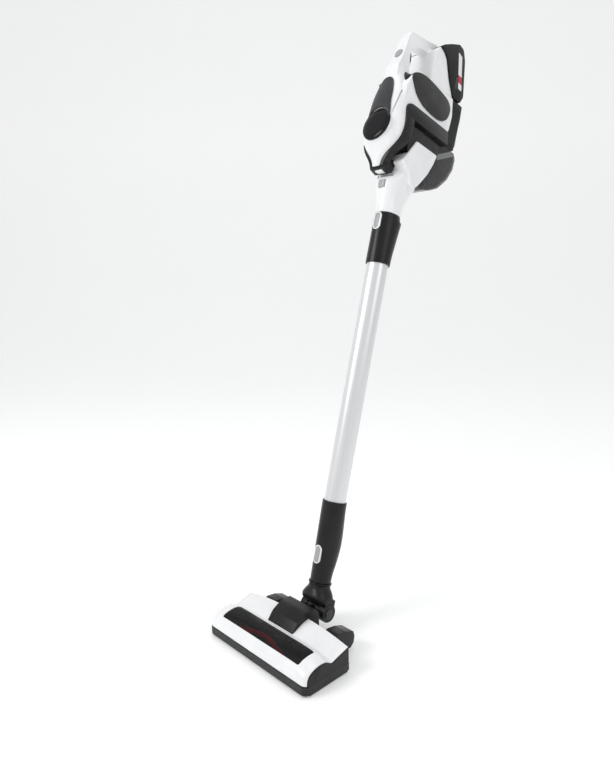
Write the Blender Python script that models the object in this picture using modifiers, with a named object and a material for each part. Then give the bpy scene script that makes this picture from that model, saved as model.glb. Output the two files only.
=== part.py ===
"""Cordless stick vacuum: floor head, swivel neck, wand and hand unit, as separate moving pieces.

Frame: +Z up, the head's front faces -Y, origin on the floor under the middle of the floor head.
The stick leans back, so the neck, wand and hand unit are modelled in leaning frames: their +Z
runs up the stick, their +Y runs to the back of the stick and their X is the world's X.
"""

import math

import bmesh
import bpy
from mathutils import Matrix, Vector

# ---------------------------------------------------------------- driving dimensions, in metres

GAP = 0.0003                # between faces that touch on the real object
RUN = 0.0005                # running clearance round a turning or sliding piece

# floor head
HEAD_WIDTH = 0.2530
HEAD_DEPTH = 0.0970
BASE_HEIGHT = 0.0192        # top of the black base tray
SOLE_LIFT = 0.0016          # base tray above the floor
SHELL = 0.0025              # moulded wall
CAP_THICKNESS = 0.0012      # end caps
CORNER = 0.0100             # rounding of the head's front corners, seen from above
CROWN_REAR = 0.0545         # cover height at its back edge, in the middle
CROWN_END = 0.0430          # and at its ends
BRUSH_Y = -0.0235
BRUSH_Z = 0.0215
BRUSH_RADIUS = 0.0190       # over the bristles
CORE_RADIUS = 0.0125
CHAMBER_BACK = -0.0040      # front of the wall behind the brush chamber
JOURNAL_RADIUS = 0.0050
BRUSH_PULLEY_RADIUS = 0.0070
PULLEY_RADIUS = 0.0060
BELT_THICKNESS = 0.0018
MOTOR_Y = 0.0230
MOTOR_Z = 0.0210
BRUSH_MOTOR_RADIUS = 0.0125
WINDOW_HALF = 0.1000
WINDOW_FRONT = -0.0375
WINDOW_BACK = -0.0050
DOME_HALF = 0.0320
BRACKET_X = 0.0790
BRACKET_HALF = 0.0130
WHEEL_RADIUS = 0.0130
WHEEL_Y = 0.0800
WHEEL_WIDTH = 0.0130
AXLE_RADIUS = 0.0020

# neck
LEAN = math.radians(16.26)
STICK_FOOT_Y = 0.0840       # where the stick's centre line meets the floor
PIVOT_Y = 0.1010
PIVOT_Z = 0.0400
ROLL_RADIUS = 0.0105        # spindle that the head rolls on
EYE_RADIUS = 0.0140
BOSS_RADIUS = 0.0160
BOSS_OUT = 0.0300
PIN_RADIUS = 0.0050
COLLAR_Z = 0.0900           # up the stick
NECK_TOP = 0.2400

# wand
TUBE_RADIUS = 0.0200
TUBE_WALL = 0.0015
TUBE_INSERT = 0.0400        # tube inside the neck
WAND_SHOWN = 0.4410         # tube between the neck and the upper connector
CONNECTOR_LENGTH = 0.0940
SPIGOT_RADIUS = 0.0175
SPIGOT_LENGTH = 0.0420
SPIGOT_SEAT = 0.0120        # pipe inside the nozzle
BUTTON_LENGTH = 0.0280      # oval release buttons
BUTTON_WIDTH = 0.0110
RIM_WIDTH = 0.0024
LOWER_BUTTON_Z = 0.1430

# hand unit, heights above the nozzle's mouth
BARREL_HALF = 0.0430
BODY_HALF = 0.0370
TRIM_HALF = 0.0455
TRIM_PROUD = 0.0030         # collar outside the barrel's side
TRIM_LOW = 0.1630
TRIM_HIGH = 0.1906
BODY_TOP = 0.2585
SPINE_HALF = 0.0150
BAND_HALF = 0.0340
BATTERY_HALF = 0.0370
VENT_HALF = 0.0360
DISC_RADIUS = 0.0300
DISC_THICKNESS = 0.0040
DISC_TILT = math.radians(7)
BIN_HALF = 0.0380
BIN_WALL = 0.0020
LEAF_HALF = 0.0420
DUCT_RADIUS = 0.0150
MOTOR_RADIUS = 0.0250
MOTOR_UP = 0.2215
TRIGGER_HALF = 0.0060
TRIGGER_FRONT = -0.0320
TRIGGER_LOW = 0.2760
TRIGGER_HIGH = 0.3000
MODE_RADIUS = 0.0080
MODE_Y = -0.0457
MODE_UP = 0.2870
MODE_TILT = math.radians(14.6)
RELEASE_Y = 0.0885
RELEASE_UP = 0.2900
LATCH_HALF = 0.0165

TUBE_BOTTOM = NECK_TOP - TUBE_INSERT
CONNECTOR_BOTTOM = NECK_TOP + WAND_SHOWN
CONNECTOR_TOP = CONNECTOR_BOTTOM + CONNECTOR_LENGTH
UPPER_BUTTON_Z = CONNECTOR_TOP - 0.0170
HALF_WIDTH = HEAD_WIDTH / 2
HALF_DEPTH = HEAD_DEPTH / 2
INNER_HALF = HALF_WIDTH - CAP_THICKNESS
BELT_X = -INNER_HALF + 0.0080
BRISTLE_HALF = INNER_HALF - 0.0130

# ---------------------------------------------------------------- scene and materials


def clear_scene():
    for obj in list(bpy.data.objects):
        bpy.data.objects.remove(obj, do_unlink=True)


def new_collection(name, hidden=False):
    made = bpy.data.collections.new(name)
    made.hide_render = hidden
    bpy.context.scene.collection.children.link(made)
    return made


clear_scene()
PARTS = new_collection("cordless_stick_vacuum")
CUTTERS = new_collection("cutters", hidden=True)


def material(name, color, roughness, metallic=0.0, alpha=1.0):
    made = bpy.data.materials.new(name)
    made.use_nodes = True
    shader = made.node_tree.nodes["Principled BSDF"]
    shader.inputs["Base Color"].default_value = (*color, 1.0)
    shader.inputs["Roughness"].default_value = roughness
    shader.inputs["Metallic"].default_value = metallic
    shader.inputs["Alpha"].default_value = alpha
    return made


WHITE = material("white_gloss_plastic", (0.88, 0.88, 0.88), 0.25)
GREY = material("grey_plastic", (0.50, 0.51, 0.52), 0.35)
BLACK = material("black_satin_plastic", (0.020, 0.020, 0.022), 0.40)
DARK = material("dark_grey_plastic", (0.075, 0.075, 0.080), 0.35)
PIANO = material("piano_black_plastic", (0.004, 0.004, 0.005), 0.06)
SMOKED = material("smoked_clear_plastic", (0.10, 0.10, 0.11), 0.10, alpha=0.55)
TUBE = material("silver_tube", (0.80, 0.81, 0.82), 0.30, metallic=0.6)
STEEL = material("steel", (0.55, 0.55, 0.57), 0.30, metallic=1.0)
RED = material("red_bristle", (0.65, 0.03, 0.04), 0.70)
RUBBER = material("black_rubber", (0.015, 0.015, 0.015), 0.85)
FELT = material("felt", (0.05, 0.05, 0.055), 0.95)
LABEL = material("white_label", (0.85, 0.85, 0.85), 0.45)

# ---------------------------------------------------------------- making meshes


def link(obj, skin, frame, collection=None):
    (collection or PARTS).objects.link(obj)
    obj.parent = frame
    if skin:
        obj.data.materials.append(skin)
    if collection is CUTTERS:
        obj.hide_render = True
        obj.display_type = "WIRE"
    return obj


def from_bmesh(name, shape, skin, frame, collection=None):
    mesh = bpy.data.meshes.new(name)
    bmesh.ops.recalc_face_normals(shape, faces=shape.faces)
    shape.to_mesh(mesh)
    shape.free()
    return link(bpy.data.objects.new(name, mesh), skin, frame, collection)


def smooth(obj, degrees=32):
    obj.data.shade_smooth()
    obj.data.set_sharp_from_angle(angle=math.radians(degrees))
    return obj


def bevel(obj, width, segments=1, degrees=32):
    edge = obj.modifiers.new("rounded_edges", "BEVEL")
    edge.width = width
    edge.segments = segments
    edge.limit_method = "ANGLE"
    edge.angle_limit = math.radians(degrees)
    return obj


def boolean(obj, other, operation):
    step = obj.modifiers.new(other.name, "BOOLEAN")
    step.operation = operation
    step.object = other
    return obj


def cut(obj, *cutters):
    for cutter in cutters:
        boolean(obj, cutter, "DIFFERENCE")
    return obj


def join(obj, *others):
    for other in others:
        boolean(obj, other, "UNION")
    return obj


def box(name, low, high, skin, frame, collection=None):
    shape = bmesh.new()
    bmesh.ops.create_cube(shape, size=1.0)
    low, high = Vector(low), Vector(high)
    size = high - low
    bmesh.ops.scale(shape, vec=size, verts=shape.verts)
    bmesh.ops.translate(shape, vec=(low + high) / 2, verts=shape.verts)
    return from_bmesh(name, shape, skin, frame, collection)


def cylinder(name, start, end, radius, skin, frame, collection=None, sides=24, radius_end=None):
    start, end = Vector(start), Vector(end)
    run = end - start
    shape = bmesh.new()
    last = radius if radius_end is None else radius_end
    bmesh.ops.create_cone(
        shape, cap_ends=True, segments=sides, radius1=radius, radius2=last, depth=run.length
    )
    turn = run.to_track_quat("Z", "Y").to_matrix().to_4x4()
    place = Matrix.Translation((start + end) / 2) @ turn
    bmesh.ops.transform(shape, matrix=place, verts=shape.verts)
    return from_bmesh(name, shape, skin, frame, collection)


def prism(name, outline, half, skin, frame, collection=None, middle=0.0):
    """A flat outline in the frame's YZ plane, extruded by half its width each way along X."""
    curve = bpy.data.curves.new(name + "_outline", "CURVE")
    curve.dimensions = "2D"
    curve.fill_mode = "BOTH"
    curve.extrude = half
    spline = curve.splines.new("POLY")
    spline.points.add(len(outline) - 1)
    for point, (across, up) in zip(spline.points, outline):
        point.co = (across, up, 0.0, 1.0)
    spline.use_cyclic_u = True
    guide = bpy.data.objects.new(name + "_outline", curve)
    PARTS.objects.link(guide)
    graph = bpy.context.evaluated_depsgraph_get()
    mesh = bpy.data.meshes.new_from_object(guide.evaluated_get(graph))
    mesh.name = name
    bpy.data.objects.remove(guide, do_unlink=True)
    shape = bmesh.new()
    shape.from_mesh(mesh)
    bmesh.ops.remove_doubles(shape, verts=shape.verts, dist=1e-6)
    bmesh.ops.dissolve_limit(
        shape, angle_limit=math.radians(0.5), verts=shape.verts, edges=shape.edges
    )
    upright = Matrix(((0, 0, 1, middle), (1, 0, 0, 0), (0, 1, 0, 0), (0, 0, 0, 1)))
    bmesh.ops.transform(shape, matrix=upright, verts=shape.verts)
    bpy.data.meshes.remove(mesh)
    return from_bmesh(name, shape, skin, frame, collection)


def loft(name, rings, skin, frame, collection=None):
    """Skins rings that have the same number of points, and closes both ends."""
    shape = bmesh.new()
    loops = [[shape.verts.new(point) for point in ring] for ring in rings]
    count = len(loops[0])
    for lower, upper in zip(loops, loops[1:]):
        for index in range(count):
            after = (index + 1) % count
            shape.faces.new((lower[index], lower[after], upper[after], upper[index]))
    shape.faces.new(loops[0])
    shape.faces.new(loops[-1])
    return from_bmesh(name, shape, skin, frame, collection)


def turned(name, profile, skin, frame, steps=24, hollow=False):
    """A profile of (radius, height) pairs, outer side listed from the top down, turned about Z.
    A hollow piece's profile is a loop that stays clear of the axis."""
    mesh = bpy.data.meshes.new(name)
    points = [(radius, 0.0, height) for radius, height in profile]
    edges = [(index, index + 1) for index in range(len(points) - 1)]
    if hollow:
        edges.append((len(points) - 1, 0))
    mesh.from_pydata(points, edges, [])
    obj = link(bpy.data.objects.new(name, mesh), skin, frame)
    spin = obj.modifiers.new("turn", "SCREW")
    spin.steps = steps
    spin.render_steps = steps
    spin.use_merge_vertices = True
    spin.merge_threshold = 0.00001
    return obj


def sheet(name, rows, thickness, skin, frame, collection=None):
    """An open surface through rows of points, thickened on its inner side."""
    shape = bmesh.new()
    grid = [[shape.verts.new(point) for point in row] for row in rows]
    for near, far in zip(grid, grid[1:]):
        for index in range(len(near) - 1):
            shape.faces.new((near[index], near[index + 1], far[index + 1], far[index]))
    mesh = bpy.data.meshes.new(name)
    shape.to_mesh(mesh)
    shape.free()
    obj = link(bpy.data.objects.new(name, mesh), skin, frame, collection)
    solid = obj.modifiers.new("wall", "SOLIDIFY")
    solid.thickness = thickness
    solid.offset = -1.0
    solid.use_even_offset = True
    return obj


# ---------------------------------------------------------------- outlines and sections


def rounded(corners, steps=4):
    """Turns (across, up, radius) corners into an outline with an arc at each corner."""
    points = []
    count = len(corners)
    for index, (across, up, radius) in enumerate(corners):
        here = Vector((across, up))
        back = Vector(corners[index - 1][:2]) - here
        ahead = Vector(corners[(index + 1) % count][:2]) - here
        if radius <= 0:
            points.append((across, up))
            continue
        half_angle = back.angle(ahead) / 2
        reach = min(radius / math.tan(half_angle), 0.49 * back.length, 0.49 * ahead.length)
        first, last = here + back.normalized() * reach, here + ahead.normalized() * reach
        for step in range(steps + 1):
            share = step / steps
            curve = first.lerp(here, share).lerp(here.lerp(last, share), share)
            points.append((curve.x, curve.y))
    return points


def flowing(points, steps=3):
    """A closed outline through the points, curved between them."""
    made = []
    count = len(points)
    for index in range(count):
        before, start, end, after = (Vector(points[(index + k) % count]) for k in (-1, 0, 1, 2))
        for step in range(steps):
            t = step / steps
            made.append(
                0.5 * (2 * start + (end - before) * t
                       + (2 * before - 5 * start + 4 * end - after) * t ** 2
                       + (3 * start - before - 3 * end + after) * t ** 3)
            )
    return [(point.x, point.y) for point in made]


def ring(half, front, back, height, power=2.0, count=28, middle_x=0.0):
    """A level superellipse: X half-width, front and back in Y, at one height."""
    points = []
    for index in range(count):
        angle = 2 * math.pi * index / count
        across, along = math.cos(angle), math.sin(angle)
        x = half * math.copysign(abs(across) ** (2 / power), across)
        reach = (back - front) / 2 * math.copysign(abs(along) ** (2 / power), along)
        points.append((middle_x + x, (front + back) / 2 + reach, height))
    return points


def between(table, height):
    """Reads a table of (height, value, ...) rows at a height between its rows."""
    rows = sorted(table)
    if height <= rows[0][0]:
        return rows[0][1:]
    for low, high in zip(rows, rows[1:]):
        if height <= high[0]:
            share = (height - low[0]) / (high[0] - low[0])
            return tuple(a + (b - a) * share for a, b in zip(low[1:], high[1:]))
    return rows[-1][1:]


# ---------------------------------------------------------------- frames


def frame(name, parent, place, lean=0.0):
    empty = bpy.data.objects.new(name, None)
    empty.parent = parent
    empty.location = place
    empty.rotation_euler = (-lean, 0.0, 0.0)
    empty.empty_display_size = 0.02
    PARTS.objects.link(empty)
    return empty


HEAD = frame("head_frame", None, (0, 0, 0))
STICK = frame("stick_frame", None, (0, STICK_FOOT_Y, 0), LEAN)
HAND = frame("hand_frame", STICK, (0, 0, CONNECTOR_TOP))
BRUSH = frame("brush_axis", HEAD, (0, BRUSH_Y, BRUSH_Z))
PIVOT_UP = PIVOT_Z * math.cos(LEAN) + (PIVOT_Y - STICK_FOOT_Y) * math.sin(LEAN)
PIVOT_BACK = (PIVOT_Y - STICK_FOOT_Y) * math.cos(LEAN) - PIVOT_Z * math.sin(LEAN)
PITCH = frame("pitch_axis", STICK, (0, PIVOT_BACK, PIVOT_UP))
ROLL = frame("roll_axis", HEAD, (0, PIVOT_Y, PIVOT_Z))

# ---------------------------------------------------------------- floor head

# (y, height in the middle, height at the ends) of the cover, front to back
COVER_LINE = (
    (-HALF_DEPTH + 0.0003, BASE_HEIGHT - 0.0020, BASE_HEIGHT - 0.0020),
    (-0.0474, 0.0270, 0.0260),
    (-0.0445, 0.0345, 0.0320),
    (-0.0380, 0.0410, 0.0370),
    (-0.0280, 0.0468, 0.0400),
    (-0.0170, 0.0498, 0.0412),
    (-0.0060, 0.0508, 0.0400),
    (0.0000, 0.0490, 0.0370),
    (0.0040, 0.0435, 0.0345),
    (0.0090, 0.0415, 0.0335),
    (0.0150, 0.0430, 0.0348),
    (0.0250, 0.0475, 0.0375),
    (0.0360, CROWN_REAR - 0.0025, 0.0400),
    (0.0482, CROWN_REAR, CROWN_END),
)
ROLLER_POWER = 8.0          # how late the cover drops towards its ends, over the brush
REAR_POWER = 2.4            # and behind it
COVER_STATIONS = (0.0, 0.25, 0.50, 0.70, 0.84, 0.92, 0.96, 0.985, 1.0)


def cover_height(y, x):
    middle, end = between(COVER_LINE, y)
    power = ROLLER_POWER if y < 0.005 else REAR_POWER
    return middle + (end - middle) * min(abs(x) / HALF_WIDTH, 1.0) ** power


def corner_set_back(x):
    """How far the head's rounded front corner runs back at this distance from the middle."""
    past = (abs(x) - (HALF_WIDTH - CORNER)) / CORNER
    return CORNER * (1 - math.sqrt(1 - min(max(past, 0.0), 1.0) ** 2))


def cover_point(x, y):
    share = (HALF_DEPTH - y) / HEAD_DEPTH
    return (x, y + corner_set_back(x) * share, cover_height(y, x))


def cover_rows(half, lines):
    right = [half * share for share in COVER_STATIONS[:0:-1]]
    stations = right + [0.0] + [-x for x in reversed(right)]
    return [[cover_point(x, y) for y in lines] for x in stations]


def window_outline(grow):
    """Corners of the window seen from above, as (x, y)."""
    corners = (
        (-WINDOW_HALF - grow, WINDOW_FRONT - grow, 0.004),
        (WINDOW_HALF + grow, WINDOW_FRONT - grow, 0.004),
        (WINDOW_HALF + 0.0030 + grow, WINDOW_BACK + grow, 0.004),
        (-WINDOW_HALF + 0.0060 - grow, WINDOW_BACK + grow, 0.010),
    )
    return rounded(corners)


def upright_prism(name, outline, low, high, frame_of, collection=CUTTERS):
    rings = [[(x, y, height) for x, y in outline] for height in (low, high)]
    return loft(name, rings, None, frame_of, collection)


def base_ring(inset, height):
    """The base seen from above, at one height: square at the back, rounded at the front."""
    half = INNER_HALF - GAP
    corner = [half - CORNER * share for share in (0.0, 0.1, 0.25, 0.5, 0.9)]
    front = [(x, -HALF_DEPTH + corner_set_back(x)) for x in corner]
    outline = [(-x, y) for x, y in front] + front[::-1] + [(half, HALF_DEPTH), (-half, HALF_DEPTH)]
    return [
        (x - math.copysign(inset, x), y - math.copysign(inset, y), height) for x, y in outline
    ]


def make_head_base():
    back = HALF_DEPTH
    edge = 0.0018
    rings = (
        base_ring(edge, SOLE_LIFT), base_ring(0.0, SOLE_LIFT + edge), base_ring(0.0, BASE_HEIGHT)
    )
    tray = loft("head_base", rings, BLACK, HEAD)
    chamber = box(
        "brush_chamber", (-BRISTLE_HALF - 0.004, -HALF_DEPTH + 0.0040, -0.01),
        (BRISTLE_HALF + 0.004, CHAMBER_BACK, 0.03), None, HEAD, CUTTERS,
    )
    bay = box(
        "motor_bay", (-INNER_HALF + 0.006, CHAMBER_BACK + 0.0040, SOLE_LIFT + SHELL),
        (INNER_HALF - 0.006, back - SHELL, 0.03), None, HEAD, CUTTERS,
    )
    bearings = cylinder(
        "bearing_cut", (-INNER_HALF + 0.0004, BRUSH_Y, BRUSH_Z),
        (INNER_HALF - 0.0006, BRUSH_Y, BRUSH_Z), JOURNAL_RADIUS + RUN, None, HEAD, CUTTERS,
        sides=16,
    )
    belt_way = box(
        "belt_way", (BELT_X - 0.0048, BRUSH_Y - 0.0115, 0.0095),
        (BELT_X + 0.0046, MOTOR_Y + 0.0105, 0.03), None, HEAD, CUTTERS,
    )
    return cut(tray, chamber, bay, bearings, belt_way)


def make_sole_strip():
    return box(
        "sole_strip", (-BRISTLE_HALF, CHAMBER_BACK + 0.0002, 0.0),
        (BRISTLE_HALF, CHAMBER_BACK + 0.0100, SOLE_LIFT - GAP), FELT, HEAD,
    )


def make_head_cover():
    lines = [row[0] for row in COVER_LINE]
    shell = sheet(
        "head_cover", cover_rows(INNER_HALF - GAP, lines), SHELL, WHITE, HEAD
    )
    opening = upright_prism("window_opening", window_outline(GAP), 0.030, 0.07, HEAD)
    notch = prism(
        "dome_notch", dome_outline(GAP), DOME_HALF + GAP, None, HEAD, CUTTERS
    )
    below = box(
        "below_cover", (-HEAD_WIDTH, -HEAD_DEPTH, 0.0), (HEAD_WIDTH, HEAD_DEPTH, BASE_HEIGHT + GAP),
        None, HEAD, CUTTERS,
    )
    return smooth(cut(shell, opening, notch, below))


def make_window():
    lines = [-0.0410, -0.0380, -0.0280, -0.0170, -0.0060, -0.0030]
    shell = sheet(
        "window", cover_rows(WINDOW_HALF + 0.005, lines), 0.0020, SMOKED, HEAD
    )
    boolean(shell, upright_prism("window_shape", window_outline(0.0), 0.030, 0.07, HEAD), "INTERSECT")
    return smooth(shell)


def dome_outline(grow):
    """Side view of the dome over the roll joint, as (y, z) corners."""
    corners = (
        (0.0085 - grow, 0.0260 - grow, 0.002), (0.0095 - grow, 0.0400, 0.016),
        (0.0225 - grow, 0.0560 + grow, 0.016), (0.0430, 0.0670 + grow, 0.020),
        (0.0640 + grow, 0.0665 + grow, 0.006), (0.0740 + grow, 0.0560, 0.004),
        (0.0740 + grow, 0.0260 - grow, 0.002),
    )
    return rounded(corners)


def make_dome():
    dome = prism("dome_cover", dome_outline(0.0), DOME_HALF, BLACK, HEAD)
    bore = cylinder(
        "roll_bore", (0, 0.0300, PIVOT_Z), (0, 0.0800, PIVOT_Z), ROLL_RADIUS + RUN, None,
        HEAD, CUTTERS, sides=32,
    )
    return smooth(cut(bevel(dome, 0.0060, segments=2), bore))


def end_cap_ring(x, inset):
    """The end cap's side view at one distance from the middle: roller arc, notch, rear block."""
    share = corner_set_back(x) / HEAD_DEPTH
    points = []
    for y, _, end in COVER_LINE:
        back = y + share * (HALF_DEPTH - y)
        points.append((back, end - inset if y > -0.047 else end))
    points[0] = (points[0][0] + inset, BASE_HEIGHT)
    low, front = SOLE_LIFT + inset, -HALF_DEPTH + corner_set_back(x) + inset
    points += [(HALF_DEPTH - inset, CROWN_END - 0.004), (HALF_DEPTH - inset, 0.0060)]
    points += [(HALF_DEPTH - 0.004, low), (front + 0.004, low), (front, SOLE_LIFT + 0.0040)]
    return [(x, y, z) for y, z in points]


def make_end_cap(side, name):
    edge = 0.0004
    rings = [
        end_cap_ring(side * x, inset)
        for x, inset in ((INNER_HALF, 0.0), (HALF_WIDTH - edge, 0.0), (HALF_WIDTH, edge))
    ]
    return loft(name, rings, BLACK, HEAD)


def bracket_outline():
    corners = (
        (HALF_DEPTH + GAP, 0.0140, 0.001), (HALF_DEPTH + GAP, 0.0420, 0.001),
        (0.0600, 0.0455, 0.006), (0.0780, 0.0430, 0.008), (0.0970, 0.0360, 0.005),
        (0.1000, 0.0260, 0.005), (0.0975, 0.0150, 0.005), (0.0900, 0.0085, 0.004),
        (0.0640, 0.0085, 0.004),
    )
    return rounded(corners, 3)


def make_bracket(side, name):
    middle = side * BRACKET_X
    arm = prism(name, bracket_outline(), BRACKET_HALF, BLACK, HEAD, middle=middle)
    well = cylinder(
        name + "_well", (middle - WHEEL_WIDTH / 2 - 0.001, WHEEL_Y, WHEEL_RADIUS),
        (middle + WHEEL_WIDTH / 2 + 0.001, WHEEL_Y, WHEEL_RADIUS), WHEEL_RADIUS + 0.0015,
        None, HEAD, CUTTERS, sides=32,
    )
    mouth = box(
        name + "_mouth", (middle - WHEEL_WIDTH / 2 - 0.001, WHEEL_Y - WHEEL_RADIUS - 0.001, -0.01),
        (middle + WHEEL_WIDTH / 2 + 0.001, WHEEL_Y + WHEEL_RADIUS + 0.001, WHEEL_RADIUS),
        None, HEAD, CUTTERS,
    )
    axle = cylinder(
        name + "_axle", (middle - BRACKET_HALF + 0.002, WHEEL_Y, WHEEL_RADIUS),
        (middle + BRACKET_HALF - 0.002, WHEEL_Y, WHEEL_RADIUS), AXLE_RADIUS, None, HEAD, CUTTERS,
        sides=16,
    )
    return join(cut(bevel(arm, 0.0020), well, mouth), axle)


def make_wheel(side, name):
    axis = frame(name + "_axis", HEAD, (side * BRACKET_X, WHEEL_Y, WHEEL_RADIUS))
    axis.rotation_euler = (0.0, math.pi / 2, 0.0)
    half = WHEEL_WIDTH / 2
    bore = AXLE_RADIUS + RUN
    profile = (
        (bore, half), (WHEEL_RADIUS - 0.0020, half), (WHEEL_RADIUS, half - 0.0020),
        (WHEEL_RADIUS, -half + 0.0020), (WHEEL_RADIUS - 0.0020, -half), (bore, -half),
    )
    return smooth(turned(name, profile, RUBBER, axis, steps=24, hollow=True))


def make_brush_core():
    core = cylinder(
        "brush_core", (-BRISTLE_HALF, 0, 0), (BRISTLE_HALF, 0, 0), CORE_RADIUS, DARK, BRUSH,
    )
    journal = cylinder(
        "brush_journal", (-INNER_HALF + 0.0010, 0, 0), (INNER_HALF - 0.0010, 0, 0),
        JOURNAL_RADIUS, None, BRUSH, CUTTERS, sides=16,
    )
    pulley = cylinder(
        "brush_pulley", (BELT_X - 0.0036, 0, 0), (BELT_X + 0.0036, 0, 0), BRUSH_PULLEY_RADIUS,
        None, BRUSH, CUTTERS, sides=20,
    )
    return smooth(join(core, journal, pulley))


def make_bristle_strip(name, start, skin):
    """A fin that winds round the core as a chevron, with its point in the middle."""
    rings = []
    stations = 16
    inner, outer, half = CORE_RADIUS + GAP + 0.0002, BRUSH_RADIUS, 0.0016
    for index in range(stations + 1):
        x = -BRISTLE_HALF + 0.002 + 2 * (BRISTLE_HALF - 0.002) * index / stations
        turn = start + math.radians(100) * abs(x) / BRISTLE_HALF
        out = Vector((0.0, math.cos(turn), math.sin(turn)))
        side = Vector((0.0, -math.sin(turn), math.cos(turn)))
        here = Vector((x, 0.0, 0.0))
        rings.append([
            here + out * inner - side * half, here + out * outer - side * half,
            here + out * outer + side * half, here + out * inner + side * half,
        ])
    return loft(name, rings, skin, BRUSH)


def make_brush_motor():
    body = cylinder(
        "brush_motor", (BELT_X + 0.010, MOTOR_Y, MOTOR_Z), (BELT_X + 0.066, MOTOR_Y, MOTOR_Z),
        BRUSH_MOTOR_RADIUS, STEEL, HEAD,
    )
    return smooth(bevel(body, 0.0010, degrees=50))


def make_motor_pulley():
    axis = frame("pulley_axis", HEAD, (BELT_X, MOTOR_Y, MOTOR_Z))
    wheel = cylinder(
        "motor_pulley", (-0.0035, 0, 0), (0.0035, 0, 0), PULLEY_RADIUS, STEEL, axis, sides=20,
    )
    shaft = cylinder(
        "pulley_shaft", (0.0, 0, 0), (0.0095, 0, 0), 0.0020, None, axis, CUTTERS, sides=12,
    )
    return smooth(join(wheel, shaft))


def belt_outline(grow):
    """Two half circles joined by straight runs, round the brush journal and the pulley."""
    brush = Vector((BRUSH_Y, BRUSH_Z))
    motor = Vector((MOTOR_Y, MOTOR_Z))
    heading = (motor - brush).angle_signed(Vector((1.0, 0.0)))
    points = []
    for centre, radius, start in ((motor, PULLEY_RADIUS, -90), (brush, BRUSH_PULLEY_RADIUS, 90)):
        for step in range(9):
            angle = heading + math.radians(start + 22.5 * step)
            reach = radius + grow
            points.append((
                centre.x + reach * math.cos(angle), centre.y + reach * math.sin(angle),
            ))
    return points


def make_drive_belt():
    belt = prism(
        "drive_belt", belt_outline(RUN + BELT_THICKNESS), 0.0030, RUBBER, HEAD, middle=BELT_X
    )
    inside = prism(
        "belt_inside", belt_outline(RUN), 0.0050, None, HEAD, CUTTERS, middle=BELT_X
    )
    return cut(belt, inside)


# ---------------------------------------------------------------- neck


def make_knuckle():
    """Eye on the pitch pin and spindle in the dome's bore, in the roll axis frame."""
    eye = cylinder(
        "knuckle", (-0.0150, 0, 0), (0.0150, 0, 0), EYE_RADIUS, BLACK, ROLL, sides=40,
    )
    reach = PIVOT_Y - 0.0320
    spindle = cylinder(
        "roll_spindle", (0, -reach, 0), (0, 0, 0), ROLL_RADIUS, None, ROLL, CUTTERS,
    )
    pin_hole = cylinder(
        "pin_hole", (-0.03, 0, 0), (0.03, 0, 0), PIN_RADIUS + RUN, None, ROLL, CUTTERS, sides=20,
    )
    return smooth(cut(join(eye, spindle), pin_hole))


def make_yoke():
    """Collar socket at the top, two bosses at the bottom, and the pin through the knuckle."""
    top = COLLAR_Z - 0.0010
    lower = PIVOT_UP + EYE_RADIUS + 0.0030
    rings = [
        ring(0.0190, -0.0190, 0.0190, top, 2.0),
        ring(0.0195, -0.0195, 0.0195, top - 0.006, 2.0),
        ring(0.0245, -0.0215, 0.0215, top - 0.013, 2.3),
        ring(0.0285, -0.0235, 0.0220, lower + 0.008, 2.6),
        ring(0.0295, -0.0200, 0.0210, lower, 3.2),
    ]
    body = loft("yoke", rings, BLACK, STICK)
    pieces = []
    for side, name in ((-1, "left"), (1, "right")):
        inner, outer = side * 0.0160, side * BOSS_OUT
        pieces.append(cylinder(
            "boss_" + name, (inner, PIVOT_BACK, PIVOT_UP), (outer, PIVOT_BACK, PIVOT_UP),
            BOSS_RADIUS, None, STICK, CUTTERS, sides=40,
        ))
        low, high = sorted((inner, outer - side * 0.0015))
        pieces.append(box(
            "arm_" + name, (low, PIVOT_BACK - 0.0125, PIVOT_UP),
            (high, PIVOT_BACK + 0.0125, lower + 0.006), None, STICK, CUTTERS,
        ))
    pieces.append(cylinder(
        "pitch_pin", (-0.0170, PIVOT_BACK, PIVOT_UP), (0.0170, PIVOT_BACK, PIVOT_UP), PIN_RADIUS,
        None, STICK, CUTTERS, sides=20,
    ))
    return smooth(join(body, *pieces))


def make_pivot_cap(side, name):
    start, end = side * (BOSS_OUT + GAP), side * (BOSS_OUT + 0.0018)
    cap = cylinder(
        name, (start, 0, 0), (end, 0, 0), 0.0095, DARK, PITCH, sides=28,
    )
    return smooth(bevel(cap, 0.0005, degrees=50))


def make_collar():
    low, high = COLLAR_Z - 0.0010 + GAP, COLLAR_Z + 0.0030
    radius = 0.0212
    profile = (
        (0.0150, high), (radius - 0.0008, high), (radius, high - 0.0008), (radius, low + 0.0008),
        (radius - 0.0008, low), (0.0150, low),
    )
    return smooth(turned("swivel_collar", profile, PIANO, STICK, steps=32, hollow=True))


NECK_SECTIONS = (
    # height, half width, front, back
    (COLLAR_Z + 0.0033, 0.0190, -0.0190, 0.0190),
    (0.1100, 0.0195, -0.0195, 0.0205),
    (0.1300, 0.0205, -0.0205, 0.0250),
    (0.1550, 0.0215, -0.0212, 0.0288),
    (0.1780, 0.0220, -0.0216, 0.0285),
    (0.2050, 0.0222, -0.0220, 0.0255),
    (0.2250, 0.0223, -0.0222, 0.0232),
    (NECK_TOP, 0.0224, -0.0224, 0.0226),
)


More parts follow.
